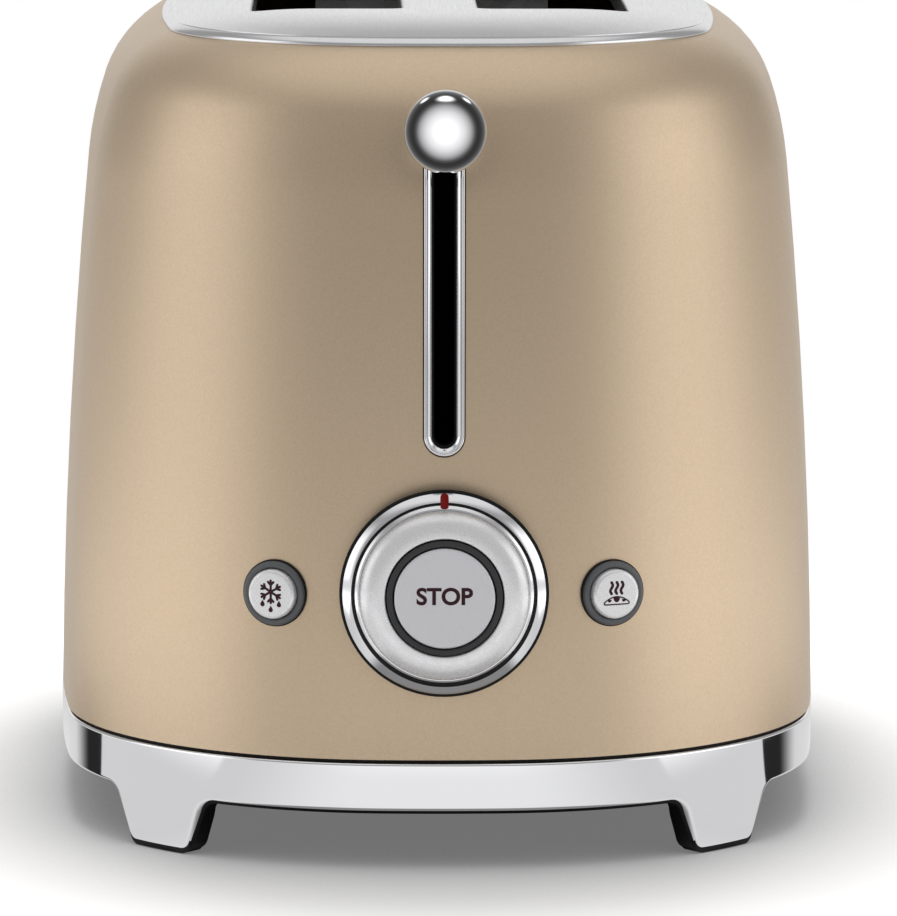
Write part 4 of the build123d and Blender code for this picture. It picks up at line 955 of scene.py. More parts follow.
@dataclass
class BaseRing:
    """Plated ring with four feet, dark inside, on rubber pads."""

    form: BodyForm
    bottom: float = 14.0
    wall: float = 5.2
    edge: float = 0.8
    edge_steps: int = 8
    top_edge: float = 0.7
    foot_edge: float = 2.7
    plated: float = 0.25
    heel: float = 1.4
    heel_rise: float = 4.0
    # A black lip along the ring's lower edge, at the front and back between the feet
    lower_black_lip: float = 0.7
    lower_black_lip_from: float = 42.0
    lower_black_lip_ease: float = 0.08
    shelf: float = 13.8
    ease: float = 0.35
    step: float = 1.6
    crease: float = 50.0
    foot_angle: float = 45.4
    foot_top: float = 28.6
    foot_bottom: float = 19.4
    foot_steps: int = 10
    foot_clear: float = 0.7
    toe: float = 3.0
    flare: float = 5.0
    flank: float = 3.0
    tray_half_width: float = 46.5
    tray_top: float = 22.6
    tray_clear: float = 1.9
    tray_margin: float = 0.1
    tray_side: float = 0.9995
    tray_snap: float = 0.05
    skin: float = 0.01
    pad_inset: float = 0.35
    pad_edge: float = 0.3
    pad_lap: float = 0.2
    pad_reach: float = 0.8
    pad_crease: float = 30.0

    def foot_line(self) -> np.ndarray:
        """Draw the ring's lower edge across one foot.

        Returns:
            Distance from the foot's middle, flank first, and height.
        """
        pad = box_of("base_ring")[0][2]
        reach = self.foot_top / 2 + 2 * self.flare
        line = rounded([
            (-reach - self.flank, self.bottom, 0),
            (-self.foot_top / 2 - self.flank, self.bottom, self.flare),
            (-self.foot_bottom / 2, pad, self.toe),
            (self.foot_bottom / 2, pad, self.toe),
            (self.foot_top / 2, self.bottom, self.flare),
            (reach, self.bottom, 0),
        ], closed=False, steps=self.foot_steps)
        return finely(line, self.step)

    def over_foot(self, marks: list[Mark], index: int, radius: float) -> list[Mark]:
        """Lead a corner's marks round its foot.

        Args:
            marks: the corner's marks.
            index: its place among the plan arcs.
            radius: its radius.

        Returns:
            The marks beside the foot, and those on it.
        """
        flipped = index in (3, 7)
        middle = index // 2 * 90 + (self.foot_angle if flipped else 90 - self.foot_angle)
        line = self.foot_line()
        edge = line[::-1] * (-1, 1) if flipped else line
        run = np.gradient(edge, axis=0)
        run /= np.hypot(*run.T)[:, None]
        spread = np.degrees(np.arcsin(edge[:, 0] / radius))
        first, last = spread[0] - self.foot_clear, spread[-1] + self.foot_clear
        marks = [mark for mark in marks if not first < mark[0] - middle < last]
        return [*marks, *zip(middle + spread, edge[:, 1], -run[:, 1], run[:, 0])]

    def over_tray(self, marks: list[Mark], index: int, aside: float, radius: float) -> list[Mark]:
        """Lead a rear arc's marks over the tray's opening.

        Args:
            marks: the arc's marks.
            index: its place among the plan arcs.
            aside: how far its centre lies from the middle plane.
            radius: its radius.

        Returns:
            The marks beside the opening, and those over it.
        """
        turn = degrees(asin((self.tray_half_width - aside) / radius))
        over = (self.tray_top, 0.0, 1.0)
        inside = [(mark[0], *over) for mark in marks if abs(mark[0] - 90) < turn - self.tray_margin]
        marks = [mark for mark in marks if abs(mark[0] - 90) > turn + self.tray_clear] + inside
        if index != 2:
            stop = 90 + (index - 2) * turn
            marks += [(stop, self.bottom, 0.0, 1.0), (90 + (stop - 90) * self.tray_side, *over)]
        return marks

    def stations(self) -> Iterator[Station]:
        """Walk round the plan.

        Returns:
            The stations in order, with those of the feet and the tray's opening.
        """
        for index, (cx, cy, radius, start, sweep) in enumerate(self.form.arcs()):
            count = ceil(radius * radians(sweep) / self.step)
            marks = [(angle, self.bottom, 0.0, 1.0) for angle in start + sweep * np.arange(count) / count]
            if index % 2:
                marks = self.over_foot(marks, index, radius)
            if index in (1, 2, 3):
                marks = self.over_tray(marks, index, abs(cx), radius)
            for mark in sorted(marks):
                yield Station(cx, cy, radius, *mark)

    def section(self, at: Station, foot: float, top: float) -> list[Corner]:
        """Draw the ring's section.

        Args:
            at: the station.
            foot: height of the feet's lower end.
            top: height of the ring's top.

        Returns:
            Depth inside the plan, distance along it and height of each point.
        """
        turns = np.radians(np.linspace(0, 90, self.edge_steps))
        lift = min(1.0, (at.low - foot) / (self.bottom - foot))
        edge = self.edge + (self.foot_edge - self.edge) * (1 - at.up) * lift
        heel = self.wall + self.heel * min(1.0, max(0.0, (self.bottom - at.low) / self.heel_rise))
        shelf = max(at.low, self.shelf)
        shown = (abs(sin(radians(at.angle))) - sin(radians(self.lower_black_lip_from))) / self.lower_black_lip_ease
        lip = self.lower_black_lip * min(1.0, max(0.0, shown)) if at.low <= self.bottom else 0.0
        points = [(self.wall, 0, shelf), (heel, 0, shelf)]
        points += [(depth, -at.along * lip, at.low - at.up * lip) for depth in (heel, edge + self.plated)]
        for t in turns:
            inward = edge * (1 - cos(t))
            points.append((edge * (1 - sin(t)), at.along * inward, at.low + at.up * inward))
        inward = edge + self.ease
        points.append((0.0, at.along * inward, at.low + at.up * inward))
        points += [(self.top_edge * (1 - cos(t)), 0, top - self.top_edge * (1 - sin(t))) for t in turns]
        return [*points, (self.wall, 0, top)]

    def spot(self, at: Station, depth: float, aside: float) -> Point:
        """Find a section's point in the plan.

        Args:
            at: the station.
            depth: how far the point lies inside the arc.
            aside: how far it lies along the arc from the station.

        Returns:
            Its x and y. The tray opening's sides run straight back, so that the tray slides between them.
        """
        reach = at.radius - depth
        edge = at.cx + at.radius * cos(radians(at.angle))
        if 0 < at.angle < 180 and abs(abs(edge) - self.tray_half_width) < self.tray_snap:
            return edge, at.cy + sqrt(reach * reach - (edge - at.cx) ** 2)
        turn = radians(at.angle) + aside / at.radius
        return at.cx + reach * cos(turn), at.cy + reach * sin(turn)

    def build(self) -> None:
        """Sweep the ring's section round the plan, with its lower edge following feet and tray opening."""
        low, high = box_of("base_ring")
        columns = []
        for at in self.stations():
            section = self.section(at, low[2], high[2])
            columns.append([(*self.spot(at, depth, aside), height) for depth, aside, height in section])
        rows = np.array(columns).transpose(1, 0, 2)
        faces = lattice(len(rows), len(columns), wrap_rows=True)
        dark = {0, 1, 2, 3, len(rows) - 2, len(rows) - 1}
        marks = [int(i // len(columns) in dark) for i in range(len(faces))]
        shape = rows.reshape(-1, 3), faces
        ring = even(solid("base_ring_plated", shape, (CHROME, BLACK), marks, self.crease))
        points = points_of(ring)
        wall = self.form.depth(points[:, :2]) < self.skin
        away = np.column_stack((self.form.outward(points[:, :2]), np.zeros(len(points))))
        plating = [face for face in ring.data.polygons if face.material_index == 0]
        aim(ring.data, plating, wall, away)
        settle(ring, "housing", "plated_trim", "base_ring")
        settle(self.pads(), "housing", "foot_rubber", "foot_pads")
        dress(RUBBER, "base_seal")

    def pads(self) -> Piece:
        """Shape the rubber under each foot like the foot's own toe, a little inside the plating.

        Returns:
            The four pads as one piece.
        """
        line = self.foot_line()
        pad = line[:, 1].min()
        reach = self.toe * self.pad_reach
        line = line[line[:, 1] < pad + reach]
        over = [(u, h + self.pad_lap) for u, h in line[::-1]]
        back = self.wall + self.heel - self.pad_inset
        front = self.pad_inset + self.pad_edge
        loops = []
        for inset, lift in ((back, 0.0), (front, 0.0), (self.pad_inset, self.pad_edge)):
            under = [(u, h - pad * (1 - (h - pad) / reach) + lift) for u, h in line]
            loops.append([(u, inset, h) for u, h in under + over])
        section = np.array(loops)
        rows, count = section.shape[:2]
        ends = [tuple(range(count)), tuple(range((rows - 1) * count, rows * count))]
        faces = lattice(rows, count) + ends
        cx, cy = self.form.corner_centre
        turn = radians(90 - self.foot_angle) + np.arcsin(section[..., 0] / self.form.corner_radius)
        out = self.form.corner_radius - section[..., 1]
        shapes = []
        for side, end in QUARTERS:
            x, y = side * (cx + out * np.cos(turn)), end * (cy + out * np.sin(turn))
            shapes.append((np.stack((x, y, section[..., 2]), axis=-1).reshape(-1, 3), faces))
        return solid("foot_pads_shaped", joined(shapes), (RUBBER,), crease=self.pad_crease)


@dataclass
class TopPlate:
    """Domed steel plate, rolled over at its rim and down into two bread slots."""

    form: BodyForm
    rise: float = 4.5
    crown: float = 30.0
    rim: tuple[Point, ...] = (
        (1.9, 0.0), (1.85, 0.15), (1.7, 0.22), (1.5, 0.2), (1.2, 0.3), (0.85, 0.52), (0.5, 0.84), (0.2, 1.2),
        (0.04, 1.5), (0.0, 1.8), (0.0, 2.4),
    )
    roll: float = 2.2
    roll_steps: int = 7
    sheet: float = 0.8
    slot_width: float = 36.6
    slot_length: float = 150.0
    slot_spacing: float = 55.6
    slot_corner: float = 4.0
    corner_steps: int = 9
    grid: float = 4.0
    slack: float = 0.001

    def __post_init__(self) -> None:
        """Take the rim's inset and the heights from the CAD node."""
        low, high = box_of("top_plate")
        self.inset = self.form.half_width - high[0]
        self.edge = self.inset + self.rim[0][0]
        self.top, self.collar = high[2], low[2]
        self.centres = (-self.slot_spacing / 2, self.slot_spacing / 2)
        self.half = np.array((self.slot_width, self.slot_length)) / 2 - self.slot_corner

    def height(self, points: np.ndarray) -> np.ndarray:
        """Measure the dome, which is level in the middle and falls on an arc to the rim.

        Args:
            points: plan points.

        Returns:
            Its height over each.
        """
        bend = (self.crown**2 + self.rise**2) / (2 * self.rise)
        short = np.clip(self.crown - (self.form.depth(points) - self.inset), 0, self.crown)
        return self.top - bend + np.sqrt(bend**2 - short**2)

    def loop(self, centre: float, grow: float) -> np.ndarray:
        """Draw the outline of a bread slot, anticlockwise.

        Args:
            centre: the slot's middle along X.
            grow: how far outside the slot's wall the outline runs.

        Returns:
            Plan points, as many for every growth.
        """
        radius = self.slot_corner + grow
        points = []
        for quarter, side in enumerate(QUARTERS):
            angles = np.radians(90 * quarter + np.linspace(0, 90, self.corner_steps))
            arc = self.half * side + radius * np.stack((np.cos(angles), np.sin(angles)), axis=1)
            following = self.half * QUARTERS[(quarter + 1) % 4] + arc[-1] - self.half * side
            count = ceil(2 * self.half[quarter % 2] / self.grid)
            run = [arc[-1] + (following - arc[-1]) * i / count for i in range(1, count)]
            points += [*arc, *run]
        return np.array(points) + (centre, 0)

    def in_slot(self, points: np.ndarray, grow: float) -> np.ndarray:
        """Find what lies within either slot.

        Args:
            points: plan points.
            grow: how far outside the slots' walls still counts.

        Returns:
            Whether each point does.
        """
        found = np.zeros(len(points), dtype=bool)
        for centre in self.centres:
            off = np.maximum(np.abs(points - (centre, 0)) - self.half, 0)
            found |= np.hypot(*off.T) < self.slot_corner + grow
        return found

    def dome(self) -> Shape:
        """Triangulate the plate between its rim and the two slots.

        Returns:
            Points and faces.
        """
        loops = [self.form.outline(self.edge), *(self.loop(centre, self.roll) for centre in self.centres)]
        reach = np.arange(-self.form.half_length, self.form.half_length, self.grid)
        spread = np.stack(np.meshgrid(reach, reach), axis=-1).reshape(-1, 2)
        clear = self.grid / 2
        spread = spread[self.form.depth(spread) > self.edge + clear]
        spread = spread[~self.in_slot(spread, self.roll + clear)]
        edges, first = [], 0
        for points in loops:
            count = len(points)
            edges += [(first + i, first + (i + 1) % count) for i in range(count)]
            first += count
        flat = [Vector(p) for p in np.concatenate((*loops, spread))]
        points, _, faces, *_ = delaunay_2d_cdt(flat, edges, [], 0, HAIR)
        points = np.array(points)
        middles = np.array([points[list(face)].mean(axis=0) for face in faces])
        kept = (self.form.depth(middles) > self.edge - self.slack) & ~self.in_slot(middles, self.roll)
        faces = [tuple(face) for face, keep in zip(faces, kept) if keep]
        return np.column_stack((points, self.height(points))), faces

    def build(self) -> None:
        """Join the dome, the rim's roll and the slots' collars into one sheet, and give it thickness."""
        level = self.height(self.form.outline(self.edge))
        rim = [np.column_stack((self.form.outline(self.inset + d), level - fall)) for d, fall in self.rim]
        strips = [rim[::-1]]
        for centre in self.centres:
            level = self.height(self.loop(centre, self.roll))
            rows = []
            for t in np.radians(np.linspace(0, 90, self.roll_steps)):
                inner = self.loop(centre, self.roll * (1 - sin(t)))
                rows.append(np.column_stack((inner, level - self.roll * (1 - cos(t)))))
            rows.append(np.column_stack((self.loop(centre, 0), 0 * level + self.collar)))
            strips.append(rows)
        shapes = [(np.concatenate(rows), lattice(len(rows), len(rows[0]))) for rows in strips]
        plate = solid("top_plate_domed", joined([self.dome(), *shapes]), (TOP_STEEL,), closed=False)
        thick = plate.modifiers.new("sheet", "SOLIDIFY")
        thick.thickness = self.sheet * MM
        thick.offset = -1
        settle(even(plate), "housing", "polished_steel", "top_plate")


@dataclass
class Lever:
    """Ball lever in a slot, with a bezel that slopes in to its throat inside a bead."""

    form: BodyForm
    opening: float = 5.5
    throat: float = 0.9
    flange: float = 1.4
    tail: float = 2.4
    seat: float = 0.02
    slope: tuple[Point, ...] = (
        (0.0, -0.55), (0.08, -0.4), (0.4, -0.08), (0.78, 0.3), (0.98, 0.46), (1.12, 0.5),
    )
    groove: Point = (0.06, 0.22)
    bead: Corner = (1.72, 0.34, 0.42)
    bead_foot: float = 0.2
    bead_steps: int = 9
    # Height of the black ledge round the bead's foot, a painted shade line where it meets the shell
    dark_rim: float = 0.16
    run_steps: int = 24
    bend_steps: int = 25

    def section(self) -> tuple[np.ndarray, list[bool]]:
        """Draw the bezel's section.

        Returns:
            Distance out from the opening and height above the shell, and whether the span after each point
            is dark: the ledge at the bead's outer foot is black as painted shade.
        """
        middle, half, rise = self.bead
        turns = np.radians(np.linspace(180, 0, self.bead_steps))
        arch = [(middle + half * cos(t), self.bead_foot + rise * sin(t)) for t in turns]
        reach = self.throat + self.flange
        groove = [(self.slope[-1][0] + self.groove[0], self.groove[1])]
        tail = [(middle + half, self.dark_rim), (reach, self.dark_rim), (reach, self.seat)]
        inner = [(self.throat, self.seat), (self.throat, -self.tail)]
        points = [(0.0, -self.tail), *self.slope, *groove, *arch, *tail, *inner]
        dark = [False] * len(points)
        first = 1 + len(self.slope) + len(groove) + len(arch)
        # The ledge and its drop at the outer foot are black as painted shade
        dark[first] = dark[first + 1] = True
        return np.array(points), dark

    def build(self) -> None:
        """Sweep the bezel round the slot on the leaning front, and dress the rest of the lever."""
        low, high = box_of("lever_bezel")
        half = self.opening / 2
        outer = half + self.throat + self.flange
        ends = low[2] + outer, high[2] - outer
        straight = np.linspace(*ends, self.run_steps)
        bend = np.radians(np.linspace(0, 180, self.bend_steps))[1:-1]
        middles = np.concatenate((straight, 0 * bend + ends[1], straight[::-1], 0 * bend + ends[0]))
        angles = np.concatenate((0 * straight, bend, 0 * straight + pi, bend + pi))
        section, dark = self.section()
        out, proud = section.T
        reach = half + out[:, None]
        x, height = reach * np.cos(angles), middles + reach * np.sin(angles)
        points = self.form.on_front(x, height, proud[:, None] + 0 * angles)
        shape = points.reshape(-1, 3), lattice(len(out), len(angles), wrap_rows=True)
        marks = np.repeat(dark, len(angles)).astype(int)
        bezel = solid("lever_slot_bezel", shape, (CHROME, RUBBER), marks)
        settle(even(bezel), "housing", "plated_trim", "lever_bezel")
        dress(CHROME, "lever_ball")
        dress(WIRE, "lever_stem", "left_bread_rack", "right_bread_rack")
        dress(BLACK, "slot_liner")
        # Blackened as painted shade, so that the lever's slot looks dark inside
        dress(SHADE_BLACK_STEEL, "carriage_slider", "latch_armature")


def film_of(name: str, flat: Shape, axis: Axis, reach: float) -> Piece:
    """Give flat faces the thickness of a film of ink.

    Args:
        name: the piece's name.
        flat: points across and up from the axis, and faces.
        axis: line through the face that is printed on.
        reach: how far forward that face stands.

    Returns:
        The new object.
    """
    points, faces = flat
    count = len(points)
    used = {(a, b) for face in faces for a, b in zip(face, face[1:] + face[:1])}
    sides = [(a, b, b + count, a + count) for a, b in used if (b, a) not in used]
    whole = faces + [tuple(i + count for i in face[::-1]) for face in faces] + [s[::-1] for s in sides]
    x, y = np.concatenate((points, points)).T
    depth = np.repeat((reach + INK_FILM, reach - INK_FILM), count)
    return solid(name, (axis.place(x, y, depth), whole), (INK,))


def printed(name: str, outlines: Sequence[np.ndarray], axis: Axis, reach: float) -> Piece:
    """Lay a printed mark on a face.

    Args:
        name: the piece's name.
        outlines: closed outlines, across and up from the axis; where they overlap they are joined.
        axis: line through the face.
        reach: how far forward the face stands.

    Returns:
        The new object.
    """
    flat = [Vector(p) for outline in outlines for p in outline]
    starts = np.cumsum([0, *(len(outline) for outline in outlines)])
    rings = [list(range(a, b)) for a, b in zip(starts, starts[1:])]
    points, _, faces, _, _, origins = delaunay_2d_cdt(flat, [], rings, 1, PRINT_HAIR)
    faces = [tuple(face) for face, origin in zip(faces, origins) if origin]
    return film_of(name, (np.array(points), faces), axis, reach)


def stroke(path: Sequence[Point], width: float, steps: int = 9) -> list[np.ndarray]:
    """Draw a line of some width.

    Args:
        path: the line's points.
        width: its width.
        steps: points round each end.

    Returns:
        Outlines of round ended bars, one for each span.
    """
    bars = []
    for start, end in zip(path, path[1:]):
        lean = atan2(end[1] - start[1], end[0] - start[0])
        ends = [(end, lean - pi / 2), (start, lean + pi / 2)]
        bars.append(np.array([
            (x + width / 2 * cos(turn + t), y + width / 2 * sin(turn + t))
            for (x, y), turn in ends for t in np.linspace(0, pi, steps)
        ]))
    return bars


@dataclass
class Dial:
    """Browning dial: plated skirt, lacquered cap with a red pointer, and the stop button in its middle."""

    height: float
    face: float
    skirt_radius: float = 24.8
    skirt_back: float = 2.3
    skirt_front: float = 4.9
    band_radius: float = 24.05
    band_lean: Point = (26.0, 48.0)
    band_steps: int = 8
    # Width of the black step behind the band, a painted shadow line round the dial
    shadow_line: float = 0.45
    groove: Point = (22.05, 21.5)
    groove_depth: float = 1.1
    groove_draft: float = 0.05
    bevel_drop: float = 0.55
    bevel_rim: tuple[Point, ...] = ((0.5, 0.1), (0.3, 0.16), (0.0, 0.1))
    segments: int = 128
    cap_radius: float = 20.1
    cap_edge: float = 6.6
    cap_front: float = 9.9
    cap_fit: float = 0.05
    crown_radius: float = 15.2
    crown_steps: int = 15
    bore: float = 14.0
    bore_edge: float = 0.45
    pointer_edge: float = 0.25
    sleeve_radius: float = 13.7
    sleeve_bore: float = 12.2
    sleeve_front: float = 10.3
    sleeve_edges: Point = (0.4, 0.4)
    stop_radius: float = 11.9
    stop_front: float = 10.8
    stop_edge: float = 0.55
    back: float = 3.0
    lettering: float = 13.3
    lettering_rise: float = 0.6
    boldness: float = 0.03

    def build(self) -> None:
        """Turn the dial's rings and the stop button, then print the stop mark."""
        axis = Axis((0.0, self.face, self.height))
        settle(self.skirt(axis), "dial", "plated_trim", "dial_skirt")
        settle(lathe("dial_cap_domed", self.cap(), axis, SILVER), "dial", "silver_cap", "dial_cap")
        sleeve = collar(self.sleeve_bore, self.sleeve_radius, self.back, self.sleeve_front, self.sleeve_edges)
        sleeve = lathe("stop_sleeve_ring", sleeve, axis, CHARCOAL)
        settle(sleeve, "housing", "charcoal_plastic", "stop_sleeve")
        stop = button(self.stop_radius, self.stop_front, self.back, self.stop_edge)
        settle(lathe("stop_button_cap", stop, axis, SATIN), "stop_key", "silver_cap", "stop_button")
        pointer = softened("dial_pointer_bar", "dial_pointer", self.pointer_edge, RED)
        settle(pointer, "dial", "pointer_red", "dial_pointer")
        settle(self.word("STOP", axis), "stop_key", "silver_cap")
        # The seat is black, as painted shade in the gap behind the dial
        dress(BLACK, "dial_seat")

    def cap(self) -> np.ndarray:
        """Draw the cap: its side, its dome, and the rounded lip of its bore.

        Returns:
            Radius and reach forward of each point.
        """
        wide, deep = self.cap_radius - self.crown_radius, self.cap_front - self.cap_edge
        turns = np.radians(np.linspace(90, 0, self.crown_steps))
        dome = [(self.crown_radius + wide * sin(t), self.cap_edge + deep * cos(t)) for t in turns]
        lip = rounded([(self.crown_radius, self.cap_front, 0), (self.bore, self.cap_front, self.bore_edge),
                       (self.bore, self.back, 0)], closed=False)
        return np.array([(self.cap_radius, self.back), *dome, *lip[1:]])

    def skirt(self, axis: Axis) -> Piece:
        """Turn the skirt: a step behind, a rounded band, a groove and a bevel up to the cap.

        The step is black as painted shadow round the dial, and the groove is dark as painted shade.

        Args:
            axis: the dial's axis.

        Returns:
            The skirt.
        """
        outer, inner = self.groove
        fit = self.cap_radius + self.cap_fit
        step = self.skirt_back + self.shadow_line
        floor = self.skirt_front - self.groove_depth
        width, spans = self.band_radius - outer, self.band_steps
        lean = np.radians(np.linspace(*self.band_lean, spans + 1))
        fall = np.concatenate(([0.0], np.cumsum(np.tan((lean[1:] + lean[:-1]) / 2)) * width / spans))
        band = [(outer + width * i / spans, self.skirt_front - fall[i]) for i in range(spans, -1, -1)]
        dark = [(fit, self.skirt_back), (self.skirt_radius, self.skirt_back), (self.skirt_radius, step)]
        groove = [(outer - self.groove_draft, floor), (inner + self.groove_draft, floor)]
        bevel = [(inner, self.skirt_front - self.bevel_drop)]
        bevel += [(fit + out, self.skirt_front + proud) for out, proud in self.bevel_rim]
        points = [*dark, (self.band_radius, step), *band, *groove, *bevel]
        first = len(dark) + 1 + len(band)
        marks = [2 if i < len(dark) else int(first - 1 <= i <= first + 1) for i in range(len(points))]
        shape = turned(np.array(points), axis, self.segments)
        # Charcoal in the real groove is painted shade, and black rubber on the step is painted shadow
        finishes = (replace(TURNED, centre=axis.origin), CHARCOAL, RUBBER)
        return even(solid("dial_skirt_turned", shape, finishes, np.repeat(marks, self.segments)))

    def word(self, text: str, axis: Axis) -> Piece:
        """Print a word in bold letters across the stop button.

        Args:
            text: the word.
            axis: the button's axis.

        Returns:
            The lettering.
        """
        curve = bpy.data.curves.new("lettering", "FONT")
        curve.body = text
        curve.align_x, curve.align_y = "CENTER", "CENTER"
        curve.offset = self.boldness
        written = stand("lettering", curve)
        mesh = bpy.data.meshes.new_from_object(written.evaluated_get(bpy.context.evaluated_depsgraph_get()))
        bpy.data.objects.remove(written)
        bpy.data.curves.remove(curve)
        points = np.array([v.co[:2] for v in mesh.vertices])
        faces = [tuple(p.vertices) for p in mesh.polygons]
        bpy.data.meshes.remove(mesh)
        low, high = points.min(axis=0), points.max(axis=0)
        points = (points - (low + high) / 2) * self.lettering / (high[0] - low[0]) + (0, self.lettering_rise)
        return film_of("stop_lettering", (points, faces), axis, self.stop_front)


@dataclass(frozen=True)
class SnowAndDrops:
    """Pictogram of a six armed snowflake over three falling drops."""

    line: float = 0.58
    hub: Point = (0.0, 0.65)
    arms: int = 6
    arm: float = 2.7
    knee: float = 1.6
    barb: Point = (0.75, 0.68)
    drops: tuple[Point, ...] = ((-2.1, -2.4), (0.0, -3.7), (2.1, -2.4))
    drop_radius: float = 0.55
    drop_tip: float = 1.05
    drop_turn: tuple[float, float, int] = (-210, 30, 16)

    def outlines(self) -> list[np.ndarray]:
        """Draw the marks.

        Returns:
            Closed outlines.
        """
        marks = []
        hub = np.array(self.hub)
        for i in range(self.arms):
            turn = radians((2 * i + 1) * 180 / self.arms)
            along, aside = np.array((cos(turn), sin(turn))), np.array((-sin(turn), cos(turn)))
            marks += stroke([hub, hub + self.arm * along], self.line)
            knee = hub + self.knee * along
            for side in (-1, 1):
                marks += stroke([knee, knee + self.barb[0] * along + self.barb[1] * side * aside], self.line)
        size = self.drop_radius
        turns = np.radians(np.linspace(*self.drop_turn))
        for x, y in self.drops:
            drop = [(x + size * cos(t), y + size * sin(t)) for t in turns]
            marks.append(np.array([(x, y + self.drop_tip), *drop]))
        return marks


@dataclass(frozen=True)
class SteamAndLoaf:
    """Pictogram of three curls of steam over the outline of a scored loaf."""

    steam_line: float = 0.696
    steam: tuple[float, ...] = (-1.35, 0.0, 1.35)
    steam_sway: float = 0.3
    steam_rise: Point = (0.2, 2.7)
    steps: int = 17
    loaf_line: float = 0.319
    loaf_half: float = 3.2
    loaf_foot: Point = (2.9, -2.4)
    loaf_side: float = -2.25
    crust: Point = (-0.55, 1.35)
    scores: tuple[tuple[float, ...], ...] = (
        (-1.85, -1.2, 0.55, 0.65), (0.0, -0.7, 0.85, 1.2), (1.85, -1.2, 0.55, 0.65),
    )
    score_steps: int = 13

    def outlines(self) -> list[np.ndarray]:
        """Draw the marks.

        Returns:
            Closed outlines.
        """
        marks = []
        foot, rise = self.steam_rise
        for x in self.steam:
            spans = np.linspace(0, 1, self.steps)
            marks += stroke([(x - self.steam_sway * sin(2 * pi * s), foot + rise * s) for s in spans],
                            self.steam_line)
        half, (wide, low), (peak, fall) = self.loaf_half, self.loaf_foot, self.crust
        top = [(x, peak - fall * (x / half) ** 2) for x in np.linspace(half, -half, self.steps)]
        ends = (half, self.loaf_side), (-half, self.loaf_side)
        marks += stroke([(-wide, low), (wide, low), ends[0], *top, ends[1], (-wide, low)], self.loaf_line)
        turns = np.radians(np.linspace(180, 360, self.score_steps))
        for x, y, across, down in self.scores:
            marks.append(np.array([(x + across * cos(t), y + down * sin(t)) for t in turns]))
        return marks


@dataclass
class PushButton:
    """Small lacquered button in a rounded bezel on the body's corner, with a printed pictogram."""

    name: str
    form: BodyForm
    side: Side
    mark: SnowAndDrops | SteamAndLoaf
    turn: float = 21.5
    height: float = 65.6
    bezel_radius: float = 7.75
    bezel_bore: float = 6.1
    bezel_proud: float = 1.3
    bezel_edges: Point = (0.8, 0.5)
    dark_rim: float = 0.3
    gasket_lap: float = 0.1
    gasket_proud: float = 0.35
    gasket_edges: Point = (0.12, 0.0)
    cap_radius: float = 5.95
    cap_proud: float = 2.7
    cap_edge: float = 0.9
    back: float = -1.5
    segments: int = 72

    def build(self) -> None:
        """Turn the bezel and the cap about the button's axis, and print the pictogram."""
        cx, cy = self.form.corner_centre
        out = self.form.corner_radius - float(self.form.side(np.array(self.height))[0])
        turn = radians(self.turn)
        origin = (self.side * (cx + out * sin(turn)), -cy - out * cos(turn), self.height)
        axis = Axis(origin, self.side * self.turn)
        ring = collar(self.bezel_bore, self.bezel_radius, self.back, self.bezel_proud, self.bezel_edges)
        inner, outer = self.bezel_radius - self.gasket_lap, self.bezel_radius + self.dark_rim
        rim = collar(inner, outer, self.back, self.gasket_proud, self.gasket_edges)
        shapes = [turned(outline, axis, self.segments) for outline in (ring, rim)]
        marks = [0] * len(shapes[0][1]) + [1] * len(shapes[1][1])
        bezel = solid(f"{self.name}_bezel_ring", joined(shapes), (SLATE, RUBBER), marks)
        settle(even(bezel), "housing", "charcoal_plastic", f"{self.name}_bezel")
        outline = button(self.cap_radius, self.cap_proud, self.back, self.cap_edge)
        cap = lathe(f"{self.name}_button_cap", outline, axis, SILVER, self.segments)
        settle(cap, f"{self.name}_key", "silver_cap", f"{self.name}_button")
        mark = printed(f"{self.name}_mark", self.mark.outlines(), axis, self.cap_proud)
        settle(mark, f"{self.name}_key", "silver_cap")


def tree_of(name: str, **inputs: str) -> Tree:
    """Start a geometry tree.

    Args:
        name: the tree's name.
        inputs: the kind of each input after the geometry.

    Returns:
        The tree, with its sockets and no nodes.
    """
    tree = bpy.data.node_groups.new(name, "GeometryNodeTree")
    for socket, kind in {"Geometry": "Geometry", **inputs}.items():
        tree.interface.new_socket(name=socket, in_out="INPUT", socket_type=f"NodeSocket{kind}")
    tree.interface.new_socket(name="Geometry", in_out="OUTPUT", socket_type="NodeSocketGeometry")
    return tree


def row_of(tree: Tree, given: Mapping[str, Socket], thing: Socket, **start: Socket) -> Socket:
    """Repeat a thing along a line, as real geometry in the given finish.

    Args:
        tree: the tree.
        given: the tree's inputs.
        thing: what is repeated.
        start: where the line starts, if not at the thing's own place.

    Returns:
        The row.
    """
    line = {"Count": given["Count"], "Offset": given["Step"]}
    if start:
        line["Start Location"] = start["at"]
    spots = add(tree, "GeometryNodeMeshLine", line)
    row = add(tree, "GeometryNodeInstanceOnPoints", {"Points": spots.outputs[0], "Instance": thing})
    real = add(tree, "GeometryNodeRealizeInstances", {"Geometry": row.outputs[0]})
    clad = {"Geometry": real.outputs[0], "Material": given["Finish"]}
    return add(tree, "GeometryNodeSetMaterial", clad).outputs[0]


